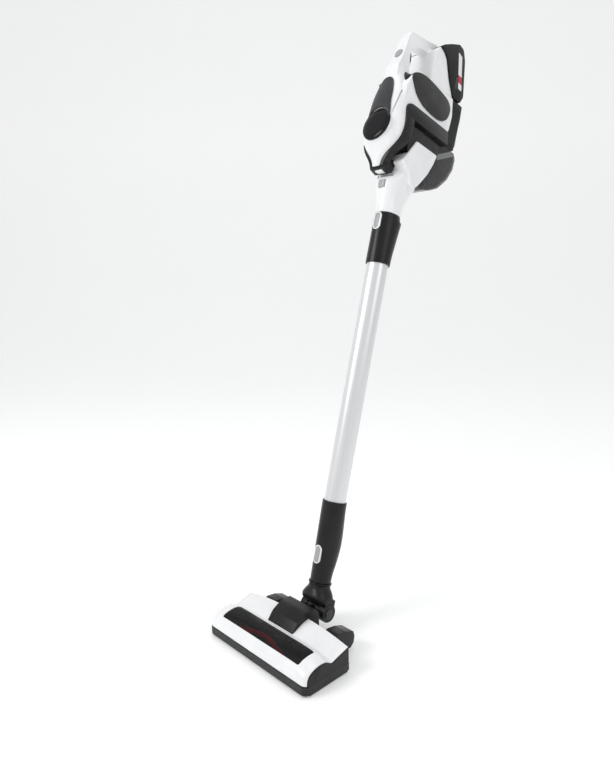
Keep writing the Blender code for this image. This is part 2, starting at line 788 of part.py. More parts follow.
def make_neck_body():
    rings = [ring(half, front, back, height) for height, half, front, back in NECK_SECTIONS]
    body = loft("neck_body", rings, BLACK, STICK)
    bore = cylinder(
        "neck_bore", (0, 0, COLLAR_Z - 0.01), (0, 0, TUBE_BOTTOM + 0.001), 0.0145, None,
        STICK, CUTTERS,
    )
    socket = cylinder(
        "neck_socket", (0, 0, TUBE_BOTTOM - 0.0006), (0, 0, NECK_TOP + 0.01),
        TUBE_RADIUS + RUN, None, STICK, CUTTERS, sides=40,
    )
    pocket = button_prism("lower_button_pocket", LOWER_BUTTON_Z, -0.0200 + 0.0035, -0.03, RIM_WIDTH + GAP)
    return smooth(cut(body, bore, socket, pocket))


# ---------------------------------------------------------------- wand and its buttons

def oval(grow, length=BUTTON_LENGTH, width=BUTTON_WIDTH, steps=6):
    """A slot-shaped outline in XZ, grown on every side."""
    radius = width / 2 + grow
    straight = (length - width) / 2
    points = []
    for centre, start in ((straight, 0), (-straight, 180)):
        for step in range(steps + 1):
            angle = math.radians(start + 180 * step / steps)
            points.append((radius * math.cos(angle), centre + radius * math.sin(angle)))
    return points


def button_prism(name, height, back, front, grow, skin=None, parent=None, collection=CUTTERS):
    rings = [[(x, y, height + z) for x, z in oval(grow)] for y in (front, back)]
    return loft(name, rings, skin, parent or STICK, collection)


def make_button_rim(name, height, face):
    rim = button_prism(name, height, face + 0.0030, face - 0.0010, RIM_WIDTH, WHITE, STICK, PARTS)
    hole = button_prism(name + "_hole", height, face + 0.01, face - 0.01, GAP)
    return cut(bevel(rim, 0.0004, degrees=50), hole)


def make_release_button(name, height, face):
    button = button_prism(name, height, face + 0.0009, face - 0.0016, 0.0, GREY, STICK, PARTS)
    return bevel(button, 0.0005, degrees=50)


def make_wand_tube():
    low, high = TUBE_BOTTOM, CONNECTOR_TOP - SPIGOT_LENGTH - 0.0060
    inner = TUBE_RADIUS - TUBE_WALL
    profile = (
        (inner, high), (TUBE_RADIUS, high), (TUBE_RADIUS, low), (inner, low),
    )
    return smooth(turned("wand_tube", profile, TUBE, STICK, steps=40, hollow=True))


CONNECTOR_SECTIONS = (
    # height above the connector's bottom, half width, front, back
    (0.0000, 0.0224, -0.0222, 0.0226),
    (0.0020, 0.0228, -0.0226, 0.0230),
    (0.0200, 0.0229, -0.0226, 0.0245),
    (0.0450, 0.0232, -0.0226, 0.0285),
    (0.0700, 0.0236, -0.0226, 0.0325),
    (0.0830, 0.0238, -0.0226, 0.0345),
    (0.0850, 0.0230, -0.0224, 0.0315),
    (CONNECTOR_LENGTH - 0.0006, 0.0222, -0.0220, 0.0290),
)


def make_upper_connector():
    rings = [
        ring(half, front, back, CONNECTOR_BOTTOM + height)
        for height, half, front, back in CONNECTOR_SECTIONS
    ]
    body = loft("upper_connector", rings, BLACK, STICK)
    top = CONNECTOR_TOP
    tube_way = cylinder(
        "tube_way", (0, 0, CONNECTOR_BOTTOM - 0.01), (0, 0, top - SPIGOT_LENGTH - 0.0050),
        TUBE_RADIUS + GAP, None, STICK, CUTTERS, sides=40,
    )
    spigot_way = cylinder(
        "spigot_way", (0, 0, top - SPIGOT_LENGTH - 0.0060), (0, 0, top + 0.01),
        SPIGOT_RADIUS + RUN, None, STICK, CUTTERS, sides=40,
    )
    pocket = button_prism(
        "upper_button_pocket", UPPER_BUTTON_Z, -0.0200 + 0.0010, -0.03, RIM_WIDTH + GAP
    )
    return smooth(cut(body, tube_way, spigot_way, pocket))


# ---------------------------------------------------------------- hand unit

BARREL_SECTIONS = (
    # height, half width, front
    (0.0725, 0.0120, -0.0555),
    (0.0800, 0.0140, -0.0575),
    (0.0880, 0.0185, -0.0600),
    (0.0960, 0.0250, -0.0625),
    (0.1050, 0.0320, -0.0660),
    (0.1150, 0.0385, -0.0695),
    (0.1250, 0.0420, -0.0715),
    (0.1450, BARREL_HALF, -0.0715),
    (0.1650, 0.0420, -0.0700),
    (0.1850, 0.0390, -0.0690),
    (0.2050, 0.0345, -0.0660),
    (0.2250, 0.0265, -0.0620),
    (0.2400, 0.0205, -0.0590),
    (0.2590, 0.0165, -0.0570),
)
BARREL_MIDDLE = -0.0360     # where the barrel is widest
BARREL_BACK = -0.0100
BARREL_POWER = 2.4

TRIM_FRONT = (
    # the collar's front line, (y, height), from the latch up to the band
    (-0.0510, 0.0735), (-0.0530, 0.0850), (-0.0530, 0.0950), (-0.0510, 0.1050),
    (-0.0480, 0.1170), (-0.0450, 0.1300), (-0.0430, 0.1450), (-0.0440, 0.1650),
    (-0.0430, 0.1800), (-0.0350, 0.1880), (-0.0220, TRIM_HIGH),
)
TRIM_BACK_Y = 0.0856
BODY_REAR = ((0.0840, 0.1800), (0.0930, 0.2000), (0.0955, 0.2250), (0.0890, BODY_TOP))


def barrel_ring(height, grow=0.0, count=28):
    """Half ellipses in front of and behind the widest line."""
    half, front = between(BARREL_SECTIONS, height)
    points = []
    for index in range(count):
        angle = 2 * math.pi * index / count
        across, along = math.cos(angle), math.sin(angle)
        x = (half + grow) * math.copysign(abs(across) ** (2 / BARREL_POWER), across)
        depth = (BARREL_BACK if along > 0 else front - grow) - BARREL_MIDDLE
        points.append((x, BARREL_MIDDLE + depth * abs(along) ** (2 / BARREL_POWER), height))
    return points


def barrel_front(x, height):
    half, front = between(BARREL_SECTIONS, height)
    share = min(abs(x) / half, 1.0)
    return BARREL_MIDDLE + (front - BARREL_MIDDLE) * (1 - share ** BARREL_POWER) ** (1 / BARREL_POWER)


def disc_axis():
    """Centre of the disc's seat and the direction it faces."""
    return Vector((0, -0.0680, 0.1420)), Vector((0, -math.cos(DISC_TILT), math.sin(DISC_TILT)))


def behind_collar():
    """What lies behind the shield and under the body: the room of trim, bin and nozzle."""
    points = [(y - GAP, height + GAP) for y, height in TRIM_FRONT]
    points[0] = (TRIM_FRONT[0][0] - GAP, 0.04)
    return points + [(0.15, TRIM_HIGH + GAP), (0.15, 0.04)]


def make_main_housing():
    rings = [barrel_ring(row[0]) for row in BARREL_SECTIONS]
    shell = loft("main_housing", rings, WHITE, HAND)
    corners = [(-0.0400, 0.1800, 0), (0.0840, 0.1800, 0), (*BODY_REAR[1], 0.008),
               (*BODY_REAR[2], 0), (*BODY_REAR[3], 0.001), (-0.0165, BODY_TOP, 0.001),
               (-0.0165, 0.2520, 0), (-0.0400, 0.2520, 0)]
    body = prism("body_block", rounded(corners), BODY_HALF, None, HAND, CUTTERS)
    bevel(body, 0.0050)
    centre, facing = disc_axis()
    seat = cylinder(
        "disc_seat", centre - facing * 0.020, centre, DISC_RADIUS - 0.0005, None, HAND,
        CUTTERS, sides=40,
    )
    pocket = cylinder(
        "disc_pocket", centre, centre + facing * 0.02, DISC_RADIUS + 2 * GAP, None, HAND,
        CUTTERS, sides=40,
    )
    room = prism("collar_room", behind_collar(), 0.08, None, HAND, CUTTERS)
    cavity = box(
        "motor_bay_hand", (-BODY_HALF + 0.0045, -0.0420, 0.1700),
        (BODY_HALF - 0.0045, 0.0800, BODY_TOP - 0.0060), None, HAND, CUTTERS,
    )
    bevel(cavity, 0.0080)
    latch_room = latch_prism("housing_latch_room", GAP, None, CUTTERS)
    return smooth(cut(join(shell, body, seat), pocket, room, cavity, latch_room))


BAND_BACK = (
    # the line that the battery slides along, (y, height)
    (0.0280, 0.3310), (0.0430, 0.3262), (0.0530, 0.3180), (0.0610, 0.3020), (0.0690, 0.2870),
    (0.0820, 0.2700), (0.0900, BODY_TOP + GAP),
)


def loop_outline():
    corners = (
        (-0.0570, BODY_TOP + 0.0010, 0), (-0.0480, 0.2780, 0.02), (-0.0420, 0.3010, 0.03),
        (-0.0365, 0.3230, 0.012), (-0.0310, 0.3350, 0.008), (0.0150, 0.3430, 0.03),
        (0.0480, 0.3520, 0.003), (0.0500, 0.3350, 0), (0.0400, 0.3220, 0),
        (0.0050, 0.3190, 0.020), (-0.0240, 0.3050, 0.010), (-0.0300, 0.2930, 0.010),
        (-0.0305, 0.2810, 0.01), (-0.0270, BODY_TOP + 0.0010, 0),
    )
    return rounded(corners, 2)


def band_outline():
    front = (
        (0.0180, BODY_TOP + GAP, 0), (0.0170, 0.2800, 0.02), (0.0180, 0.2960, 0.02),
        (0.0200, 0.3200, 0.006),
    )
    back = [(y, height, 0) for y, height in BAND_BACK]
    return rounded(list(front) + back, 2)


def mode_axis():
    """Middle of the mode button on the spine's front and the direction it faces."""
    return Vector((0, MODE_Y, MODE_UP)), Vector((0, -math.cos(MODE_TILT), math.sin(MODE_TILT)))


def make_handle_loop():
    spine = prism("handle_loop", loop_outline(), SPINE_HALF, WHITE, HAND)
    bevel(spine, 0.0055, segments=2)
    band = prism("rear_band", band_outline(), BAND_HALF, None, HAND, CUTTERS)
    bevel(band, 0.0035, degrees=50)
    slot = box(
        "trigger_slot", (-TRIGGER_HALF - RUN, TRIGGER_FRONT - 0.0045, TRIGGER_LOW - RUN),
        (TRIGGER_HALF + RUN, 0.0, TRIGGER_HIGH + RUN), None, HAND, CUTTERS,
    )
    centre, facing = mode_axis()
    well = cylinder(
        "mode_well", centre - facing * 0.0032, centre + facing * 0.02, MODE_RADIUS + RUN,
        None, HAND, CUTTERS, sides=28,
    )
    return smooth(cut(join(spine, band), slot, well))


def make_trigger():
    corners = (
        (TRIGGER_FRONT, TRIGGER_LOW, 0), (TRIGGER_FRONT + 0.0150, TRIGGER_LOW + 0.001, 0.002),
        (TRIGGER_FRONT + 0.0165, TRIGGER_LOW + 0.012, 0.006),
        (TRIGGER_FRONT + 0.0140, TRIGGER_HIGH, 0.002), (TRIGGER_FRONT, TRIGGER_HIGH, 0),
    )
    return bevel(prism("trigger", rounded(corners), TRIGGER_HALF, GREY, HAND), 0.0015)


def make_mode_button():
    centre, facing = mode_axis()
    button = cylinder(
        "mode_button", centre - facing * 0.0020, centre + facing * 0.0016, MODE_RADIUS, GREY,
        HAND, sides=28,
    )
    return smooth(bevel(button, 0.0008, degrees=50))


PANEL_SIDES = (
    # height, half width of the dark panel
    (0.1500, 0.0265), (0.1650, 0.0250), (0.1810, 0.0225), (0.2020, 0.0205), (0.2180, 0.0170),
    (0.2260, 0.0140), (0.2310, 0.0100), (0.2335, 0.0040),
)
PANEL_THICKNESS = 0.0016


def make_front_panel():
    """Dark panel that runs up from the disc and follows the barrel's front."""
    rows = []
    heights = [0.1500, 0.1600, 0.1710, 0.1810, 0.1920, 0.2020, 0.2110, 0.2180, 0.2260, 0.2310, 0.2335]
    for height in heights:
        half = between(PANEL_SIDES, height)[0]
        row = []
        for step in range(-3, 4):
            x = half * step / 3
            row.append((x, barrel_front(x, height) - PANEL_THICKNESS - 2 * GAP, height))
        rows.append(row)
    panel = sheet("front_panel", rows, PANEL_THICKNESS, DARK, HAND)
    centre, facing = disc_axis()
    hole = cylinder(
        "panel_hole", centre - facing * 0.03, centre + facing * 0.03, DISC_RADIUS + 0.0006,
        None, HAND, CUTTERS, sides=48,
    )
    return smooth(cut(panel, hole))


def make_disc():
    centre, facing = disc_axis()
    axis = frame("disc_axis", HAND, centre + facing * GAP)
    axis.rotation_euler = facing.to_track_quat("Z", "Y").to_euler()
    edge = DISC_RADIUS
    profile = (
        (0.0, DISC_THICKNESS + 0.0008), (edge * 0.6, DISC_THICKNESS + 0.0005),
        (edge - 0.0020, DISC_THICKNESS), (edge - 0.0006, DISC_THICKNESS - 0.0008),
        (edge, DISC_THICKNESS - 0.0022), (edge, 0.0), (0.0, 0.0),
    )
    return smooth(turned("motor_cover_disc", profile, PIANO, axis, steps=48))


SIDE_PANEL = (
    # leaf-shaped outline, (y, height)
    (-0.0400, 0.2410), (-0.0220, 0.2515), (0.0040, 0.2550), (0.0450, 0.2510),
    (0.0700, 0.2460), (0.0815, 0.2360), (0.0820, 0.2240), (0.0760, 0.2110), (0.0620, 0.2015),
    (0.0400, 0.1985), (0.0050, 0.2020), (-0.0190, 0.2125), (-0.0335, 0.2280),
)


def make_side_panel(side, name):
    middle = side * (BODY_HALF + GAP + 0.0011)
    panel = prism(name, flowing(SIDE_PANEL, 2), 0.0011, PIANO, HAND, middle=middle)
    return bevel(panel, 0.0006, degrees=50)


def make_chassis_trim():
    back = [
        (TRIM_BACK_Y, TRIM_HIGH), (TRIM_BACK_Y, TRIM_LOW), (-0.0210, TRIM_LOW),
        (-0.0210, 0.1280), (-0.0350, 0.1010), (-0.0375, 0.0850), (-0.0345, 0.0722),
    ]
    trim = prism("chassis_trim", list(TRIM_FRONT) + back, 0.0500, BLACK, HAND)
    heights = [row[0] for row in BARREL_SECTIONS if row[0] < TRIM_HIGH] + [TRIM_HIGH + 0.004]
    rings = []
    for height in [0.0650] + heights:
        half = min(between(BARREL_SECTIONS, height)[0] + TRIM_PROUD, TRIM_HALF)
        rings.append([(-half, -0.09, height), (half, -0.09, height), (half, 0.12, height),
                      (-half, 0.12, height)])
    boolean(trim, loft("trim_envelope", rings, None, HAND, CUTTERS), "INTERSECT")
    intake = box(
        "intake", (-0.0300, -0.0120, 0.15), (0.0300, 0.0750, 0.20), None, HAND, CUTTERS
    )
    latch_room = latch_prism("trim_latch_room", GAP, None, CUTTERS)
    return cut(trim, bevel(intake, 0.0100), latch_room)


def vent_outline():
    front = [(y + 0.0004, height) for y, height in reversed(BODY_REAR[1:])]
    front[0] = (BODY_REAR[3][0] + 0.0004, BODY_TOP + 0.0004)
    corners = [(y, height, 0) for y, height in front]
    corners += [
        (TRIM_BACK_Y + 0.0012, 0.1830, 0), (TRIM_BACK_Y + 0.0012, TRIM_LOW, 0),
        (0.1110, TRIM_LOW, 0.004), (0.1200, 0.1690, 0.003), (0.1250, 0.2340, 0.003),
        (0.1240, BODY_TOP + 0.0004, 0.001),
    ]
    return rounded(corners, 2)


def make_vent_block():
    return bevel(prism("exhaust_vent", vent_outline(), VENT_HALF, BLACK, HAND), 0.0030)


def make_motor():
    can = cylinder(
        "motor_can", (0, -0.0250, MOTOR_UP), (0, 0.0380, MOTOR_UP), MOTOR_RADIUS, STEEL, HAND,
    )
    return smooth(bevel(can, 0.0015, degrees=50))


def make_impeller():
    axis = frame("impeller_axis", HAND, (0, -0.0300, MOTOR_UP))
    axis.rotation_euler = (math.pi / 2, 0.0, 0.0)
    profile = (
        (0.0, 0.0070), (0.0050, 0.0068), (0.0100, 0.0030), (0.0220, 0.0012), (0.0220, -0.0012),
        (0.0, -0.0012),
    )
    return smooth(turned("impeller", profile, GREY, axis, steps=28))


def latch_prism(name, grow, skin, collection=None):
    corners = (
        (-0.0525 - grow, 0.0825 + grow, 0.001), (-0.0475 - grow, 0.0700 - grow, 0.002),
        (-0.0320, 0.0660 - grow, 0.002), (-0.0245 + grow, 0.0690 - grow, 0.003),
        (-0.0210 + grow, 0.0790, 0.002), (-0.0210 + grow, 0.0935 + grow, 0.001),
    )
    return prism(name, rounded(corners, 3), LATCH_HALF + grow, skin, HAND, collection)


LATCH_POCKET = (-0.0440, -0.0320)       # y of the button's pocket in the latch's underside


def make_latch():
    latch = bevel(latch_prism("container_latch", 0.0, BLACK), 0.0015)
    front, back = LATCH_POCKET
    pocket = box(
        "latch_pocket", (-0.0085, front, 0.0500), (0.0085, back, 0.0735), None, HAND, CUTTERS,
    )
    return cut(latch, pocket)


def make_latch_button():
    front, back = LATCH_POCKET
    button = box(
        "container_button", (-0.0080, front + RUN, 0.0665), (0.0080, back - RUN, 0.0705), WHITE,
        HAND,
    )
    return bevel(button, 0.0008)


# dust container, nozzle and filter


def bin_corners(grow):
    top = TRIM_LOW - 0.0004
    return (
        (-0.0203 - grow, top + grow, 0), (0.1190 + grow, top + grow, 0.003),
        (0.1262 + grow, 0.1530, 0.010), (0.1240 + grow, 0.1310 - grow, 0.018),
        (0.1110 + grow, 0.1060 - grow, 0.030), (0.0870 + grow, 0.0800 - grow, 0.030),
        (0.0640, 0.0670 - grow, 0.020), (0.0420, 0.0600 - grow, 0.010),
        (0.0150 - grow, 0.0640 - grow, 0.008), (-0.0160 - grow, 0.1050 - grow, 0.010),
        (-0.0203 - grow, 0.1180 - grow, 0.008),
    )


def make_dust_container():
    body = prism("dust_container", rounded(bin_corners(0.0)), BIN_HALF, SMOKED, HAND)
    bevel(body, 0.0060, segments=2)
    inside = [list(corner) for corner in bin_corners(-BIN_WALL)]
    inside[0][1] = inside[1][1] = TRIM_LOW + 0.01
    hollow = prism("bin_hollow", rounded(inside), BIN_HALF - BIN_WALL, None, HAND, CUTTERS)
    bevel(hollow, 0.0050)
    inlet = cylinder(
        "bin_inlet", (0, 0.010, 0.050), (0, 0.010, 0.092), DUCT_RADIUS - 0.0030, None, HAND,
        CUTTERS, sides=24,
    )
    return smooth(cut(body, hollow, inlet))


NOZZLE_SECTIONS = (
    # height, half width, front, back
    (0.0000, 0.0222, -0.0220, 0.0292),
    (0.0130, 0.0224, -0.0230, 0.0300),
    (0.0270, 0.0232, -0.0245, 0.0325),
    (0.0460, 0.0270, -0.0270, 0.0390),
    (0.0580, 0.0310, -0.0270, 0.0460),
    (0.0700, 0.0350, -0.0240, 0.0520),
    (0.0820, 0.0375, -0.0180, 0.0560),
    (0.0950, 0.0390, -0.0120, 0.0570),
)


def make_nozzle():
    rings = [
        ring(half, front, back, height, 2.0 + 8 * height)
        for height, half, front, back in NOZZLE_SECTIONS
    ]
    funnel = loft("nozzle_duct", rings, WHITE, HAND)
    corners = (
        (-0.0250, 0.0760, 0), (-0.0320, 0.0840, 0.004), (0.0010, 0.1350, 0.003),
        (0.0660, 0.1350, 0.003), (0.0590, 0.1140, 0.03), (0.0470, 0.0900, 0.02),
        (0.0360, 0.0740, 0),
    )
    leaf = prism("leaf", rounded(corners), LEAF_HALF, None, HAND, CUTTERS)
    bevel(leaf, 0.0016)
    socket = cylinder(
        "spigot_socket", (0, 0, -0.01), (0, 0, SPIGOT_SEAT + GAP), SPIGOT_RADIUS + GAP, None,
        HAND, CUTTERS, sides=40,
    )
    latch_way = box(
        "latch_way", (-LATCH_HALF - 0.0020, -0.0800, 0.0635), (LATCH_HALF + 0.0020, -0.0195, 0.2),
        None, HAND, CUTTERS,
    )
    room = prism("bin_room", rounded(bin_corners(0.0004)), BIN_HALF + GAP, None, HAND, CUTTERS)
    duct = cylinder(
        "duct", (0, 0, -0.01), (0, 0, 0.052), DUCT_RADIUS, None, HAND, CUTTERS,
    )
    upper_duct = cylinder(
        "duct_upper", (0, 0.004, 0.045), (0, 0.012, 0.095), DUCT_RADIUS - 0.002, None, HAND,
        CUTTERS,
    )
    return smooth(cut(join(funnel, leaf), room, duct, upper_duct, socket, latch_way))


def make_spigot():
    """Inlet pipe: pressed in the nozzle, it plugs into the wand's connector."""
    profile = (
        (DUCT_RADIUS, SPIGOT_SEAT), (SPIGOT_RADIUS, SPIGOT_SEAT),
        (SPIGOT_RADIUS, -SPIGOT_LENGTH), (DUCT_RADIUS, -SPIGOT_LENGTH),
    )
    return smooth(turned("inlet_pipe", profile, WHITE, HAND, steps=40, hollow=True))


def make_nozzle_tab():
    corners = ((-0.0288, 0.0515), (-0.0325, 0.0515), (-0.0305, 0.0370), (-0.0264, 0.0370))
    return bevel(prism("nozzle_tab", corners, 0.0070, GREY, HAND), 0.0010)


def make_filter():
    """Pleated cartridge: wide and narrow bands in turn."""
    rings = []
    low, high, ribs = 0.1180, TRIM_LOW - 0.0010, 4
    wide, narrow = BIN_HALF - 0.0050, BIN_HALF - 0.0075
    pitch = (high - low) / ribs
    for index in range(ribs):
        base = low + index * pitch
        rings.append(ring(wide, -0.0120, 0.0960, base, 3.0, 20))
        rings.append(ring(wide, -0.0120, 0.0960, base + pitch * 0.55, 3.0, 20))
        rings.append(ring(narrow, -0.0095, 0.0935, base + pitch * 0.6, 3.0, 20))
        rings.append(ring(narrow, -0.0095, 0.0935, base + pitch * 0.95, 3.0, 20))
    return loft("filter_cartridge", rings, DARK, HAND)


def make_screen():
    screen = cylinder(
        "cyclone_screen", (0, 0.060, 0.0850), (0, 0.060, 0.1172), 0.0200, STEEL, HAND,
        sides=28,
    )
    return smooth(screen)


# battery


def battery_outline():
    front = [(y + 0.0004, height + 0.0004, 0) for y, height in BAND_BACK[:0:-1]]
    front[0] = (front[0][0], BODY_TOP + 0.0023, 0)
    corners = [
        (0.0290, 0.3320, 0.001), (0.0350, 0.3375, 0.02), (0.0560, 0.3500, 0.02),
        (0.0800, 0.3620, 0.008), (0.0950, 0.3600, 0.010), (0.1050, 0.3420, 0.03),
        (0.1190, 0.2760, 0.010), (0.1110, BODY_TOP + 0.0023, 0.004),
    ]
    return rounded(corners + front, 2)


def make_battery():
    case = prism("battery_case", battery_outline(), BATTERY_HALF, BLACK, HAND)
    bevel(case, 0.0025, degrees=50)
    bar_way = box(
        "bar_way", (-SPINE_HALF - RUN, 0.0, 0.30), (SPINE_HALF + RUN, 0.0505, 0.40), None, HAND,
        CUTTERS,
    )
    pocket = box(
        "release_pocket", (BATTERY_HALF - 0.0035, RELEASE_Y - 0.0038, RELEASE_UP - 0.0120),
        (BATTERY_HALF + 0.01, RELEASE_Y + 0.0038, RELEASE_UP + 0.0120), None, HAND, CUTTERS,
    )
    return cut(case, pocket, bar_way)


def make_battery_release():
    button = box(
        "battery_release", (BATTERY_HALF - 0.0012, RELEASE_Y - 0.0033, RELEASE_UP - 0.0115),
        (BATTERY_HALF + 0.0008, RELEASE_Y + 0.0033, RELEASE_UP + 0.0115), GREY, HAND,
    )
    return bevel(button, 0.0006)


LABEL_CORNERS = ((0.0800, 0.3470), (0.0925, 0.3435), (0.1085, 0.2830), (0.0970, 0.2830))


def make_battery_label():
    outline = rounded([(y, height, 0.0015) for y, height in LABEL_CORNERS], 2)
    return prism(
        "battery_label", outline, 0.0003, LABEL, HAND, middle=BATTERY_HALF + 0.0006
    )


# ---------------------------------------------------------------- assembly


def build_head():
    make_head_base()
    make_sole_strip()
    make_head_cover()
    make_window()
    make_dome()
    make_brush_core()
    for index, skin in enumerate((RED, DARK, DARK)):
        start = math.radians(75 + 120 * index)
        make_bristle_strip("bristle_strip_%d" % (index + 1), start, skin)
    make_brush_motor()
    make_motor_pulley()
    make_drive_belt()
    for side, name in ((-1, "left"), (1, "right")):
        make_end_cap(side, "end_cap_" + name)
        make_bracket(side, "wheel_bracket_" + name)
        make_wheel(side, "rear_wheel_" + name)


def build_neck():
    make_knuckle()
    make_yoke()
    make_pivot_cap(-1, "pivot_cap_left")
    make_pivot_cap(1, "pivot_cap_right")
    make_collar()
    make_neck_body()
    make_button_rim("lower_button_rim", LOWER_BUTTON_Z, -0.0205)
    make_release_button("lower_release_button", LOWER_BUTTON_Z, -0.0205)


def build_wand():
    make_wand_tube()
    make_upper_connector()
    make_button_rim("upper_button_rim", UPPER_BUTTON_Z, -0.0225)
    make_release_button("upper_release_button", UPPER_BUTTON_Z, -0.0225)


def build_hand_unit():
    make_main_housing()
    make_handle_loop()
    make_trigger()
    make_mode_button()
    make_front_panel()
    make_disc()
    make_side_panel(-1, "side_panel_left")
    make_side_panel(1, "side_panel_right")
    make_chassis_trim()
    make_vent_block()
    make_motor()
    make_impeller()
    make_latch()
    make_latch_button()
    make_dust_container()
    make_nozzle()
    make_spigot()
    make_nozzle_tab()
    make_filter()
    make_screen()
    make_battery()
    make_battery_label()
    make_battery_release()


build_head()
build_neck()
build_wand()
build_hand_unit()
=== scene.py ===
# %% [markdown]
# # A cordless stick vacuum, dressed over its CAD frame
#
# The CAD model fixes where every piece is and how it moves. This lesson rebuilds most of the pieces
# that a viewer sees, at a finer resolution and with worked materials. The rest keep their CAD mesh
# and only get a material.
# Each section says what the piece is on the real cleaner, how it could be made, and why it is made
# the way it is here. Lengths are in metres. +Z is up and the floor head's front faces -Y.

import math

import bmesh
import bpy
from mathutils import Matrix, Vector


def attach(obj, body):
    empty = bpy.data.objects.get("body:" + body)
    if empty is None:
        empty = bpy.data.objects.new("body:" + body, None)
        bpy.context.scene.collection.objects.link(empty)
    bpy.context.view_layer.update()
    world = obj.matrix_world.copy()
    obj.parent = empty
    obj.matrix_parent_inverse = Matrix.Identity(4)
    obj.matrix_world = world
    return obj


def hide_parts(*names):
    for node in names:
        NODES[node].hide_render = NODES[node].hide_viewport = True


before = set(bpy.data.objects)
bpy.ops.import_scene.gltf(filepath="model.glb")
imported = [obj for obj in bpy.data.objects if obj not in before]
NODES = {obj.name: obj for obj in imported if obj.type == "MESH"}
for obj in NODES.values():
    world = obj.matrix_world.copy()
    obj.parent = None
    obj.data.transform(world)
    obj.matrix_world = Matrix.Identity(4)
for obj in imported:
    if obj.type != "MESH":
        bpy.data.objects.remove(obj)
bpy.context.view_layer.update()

# %% [markdown]
# ## Frames
#
# The stick leans back over the head, so the neck, wand and hand unit are drawn in leaning frames:
# +Z up the stick, +Y to its back. Each object could carry its own place, but here a matrix turns
# the finished mesh into the common frame and the object stays at the origin. Object coordinates
# are then places in the common frame, so textures continue across pieces.

# %% Frames
LEAN = math.radians(16.26)
FOOT_Y = 0.0840                 # where the stick's axis meets the floor
STICK_LENGTH = 0.775            # from there to the foot of the hand unit
BRUSH_AXLE = (0.0, -0.0235, 0.0215)
GAP = 0.0003                    # left between pieces that nest
HEAD_FRAME = Matrix.Identity(4)
STICK_FRAME = Matrix.Translation((0, FOOT_Y, 0)) @ Matrix.Rotation(-LEAN, 4, "X")
HAND_FRAME = STICK_FRAME @ Matrix.Translation((0, 0, STICK_LENGTH))
BRUSH_FRAME = Matrix.Translation(BRUSH_AXLE)
print("hand unit starts at", [round(v, 4) for v in HAND_FRAME.translation])

# %% [markdown]
# ## Camera
#
# A near, slightly wide lens above the head looks up along the stick, so the head is large and the
# hand unit small. The camera's axes are built from its heading, its elevation and a small roll.

# %% Camera
HEADING = math.radians(47.027559)
ELEVATION = math.radians(9.22624)
ROLL = math.radians(-1.43007)
CAMERA_AT = (0.73887147, -0.59929501, 0.61850383)
back = Vector((math.sin(HEADING) * math.cos(ELEVATION),
               -math.cos(HEADING) * math.cos(ELEVATION), math.sin(ELEVATION)))
level = Vector((math.cos(HEADING), math.sin(HEADING), 0.0))
upright = back.cross(level)
right = level * math.cos(ROLL) + upright * math.sin(ROLL)
up = upright * math.cos(ROLL) - level * math.sin(ROLL)
lens = bpy.data.cameras.new("view")
lens.lens, lens.sensor_width, lens.clip_start = 28.276, 36.0, 0.01
camera = bpy.data.objects.new("view", lens)
bpy.context.scene.collection.objects.link(camera)
camera.matrix_world = Matrix((
    (right.x, up.x, back.x, CAMERA_AT[0]), (right.y, up.y, back.y, CAMERA_AT[1]),
    (right.z, up.z, back.z, CAMERA_AT[2]), (0, 0, 0, 1),
))
bpy.context.scene.camera = camera

# %% [markdown]
# ## Shader writing
#
# A shader is arithmetic on positions. The small class below wraps one output socket and gives it
# plus, minus and times, so that a material reads like a formula. One method, `node`, adds any other
# node.

# %% Shader sockets as values


class Wire:
    """One output socket of a node tree, with arithmetic."""

    def __init__(self, tree, socket):
        self.tree, self.socket = tree, socket

    def node(self, kind, inputs=(), out=0, **settings):
        """Adds a node, sets its properties and inputs, and gives one of its outputs."""
        made = self.tree.nodes.new(kind)
        for name, value in settings.items():
            setattr(made, name, value)
        for key, value in dict(inputs).items():
            if isinstance(value, Wire):
                self.tree.links.new(value.socket, made.inputs[key])
            else:
                made.inputs[key].default_value = value
        return Wire(self.tree, made.outputs[out])

    def math(self, operation, first, second):
        return self.node("ShaderNodeMath", {0: first, 1: second}, operation=operation)

    def __add__(self, other):
        return self.math("ADD", self, other)

    def __radd__(self, other):
        return self.math("ADD", other, self)

    def __sub__(self, other):
        return self.math("SUBTRACT", self, other)

    def __rsub__(self, other):
        return self.math("SUBTRACT", other, self)

    def __mul__(self, other):
        return self.math("MULTIPLY", self, other)

    def __rmul__(self, other):
        return self.math("MULTIPLY", other, self)

    def step(self, low, high):
        """0 below low, 1 above high, smooth between them."""
        return self.node("ShaderNodeMapRange", {0: self, 1: low, 2: high, 3: 0.0, 4: 1.0},
                         interpolation_type="SMOOTHSTEP")

    def mix(self, first, second):
        """Two colours, mixed by this value."""
        return self.node("ShaderNodeMix", {0: self, 6: first, 7: second}, out=2, data_type="RGBA")

    def noise(self, scale, detail=3.0, roughness=0.5):
        return self.node("ShaderNodeTexNoise", {
            "Vector": self, "Scale": scale, "Detail": detail, "Roughness": roughness,
        })

    def parts(self):
        split = self.node("ShaderNodeSeparateXYZ", {0: self}).socket.node
        return [Wire(self.tree, socket) for socket in split.outputs]


def rgb(*values):
    return (*values, 1.0)


def skin(name, paint, numbers=None):
    """A material whose paint function returns the varying inputs; numbers are the steady ones."""
    made = bpy.data.materials.new(name)
    made.use_nodes = True
    tree = made.node_tree
    shader = tree.nodes["Principled BSDF"]
    place = tree.nodes.new("ShaderNodeTexCoord")
    for key, value in paint(Wire(tree, place.outputs["Object"])).items():
        if key == "Bump":
            height, strength, distance = value
            value = height.node("ShaderNodeBump", {
                "Height": height, "Strength": strength, "Distance": distance,
            })
            key = "Normal"
        tree.links.new(value.socket, shader.inputs[key])
    for key, value in (numbers or {}).items():
        shader.inputs[key].default_value = value
    return made


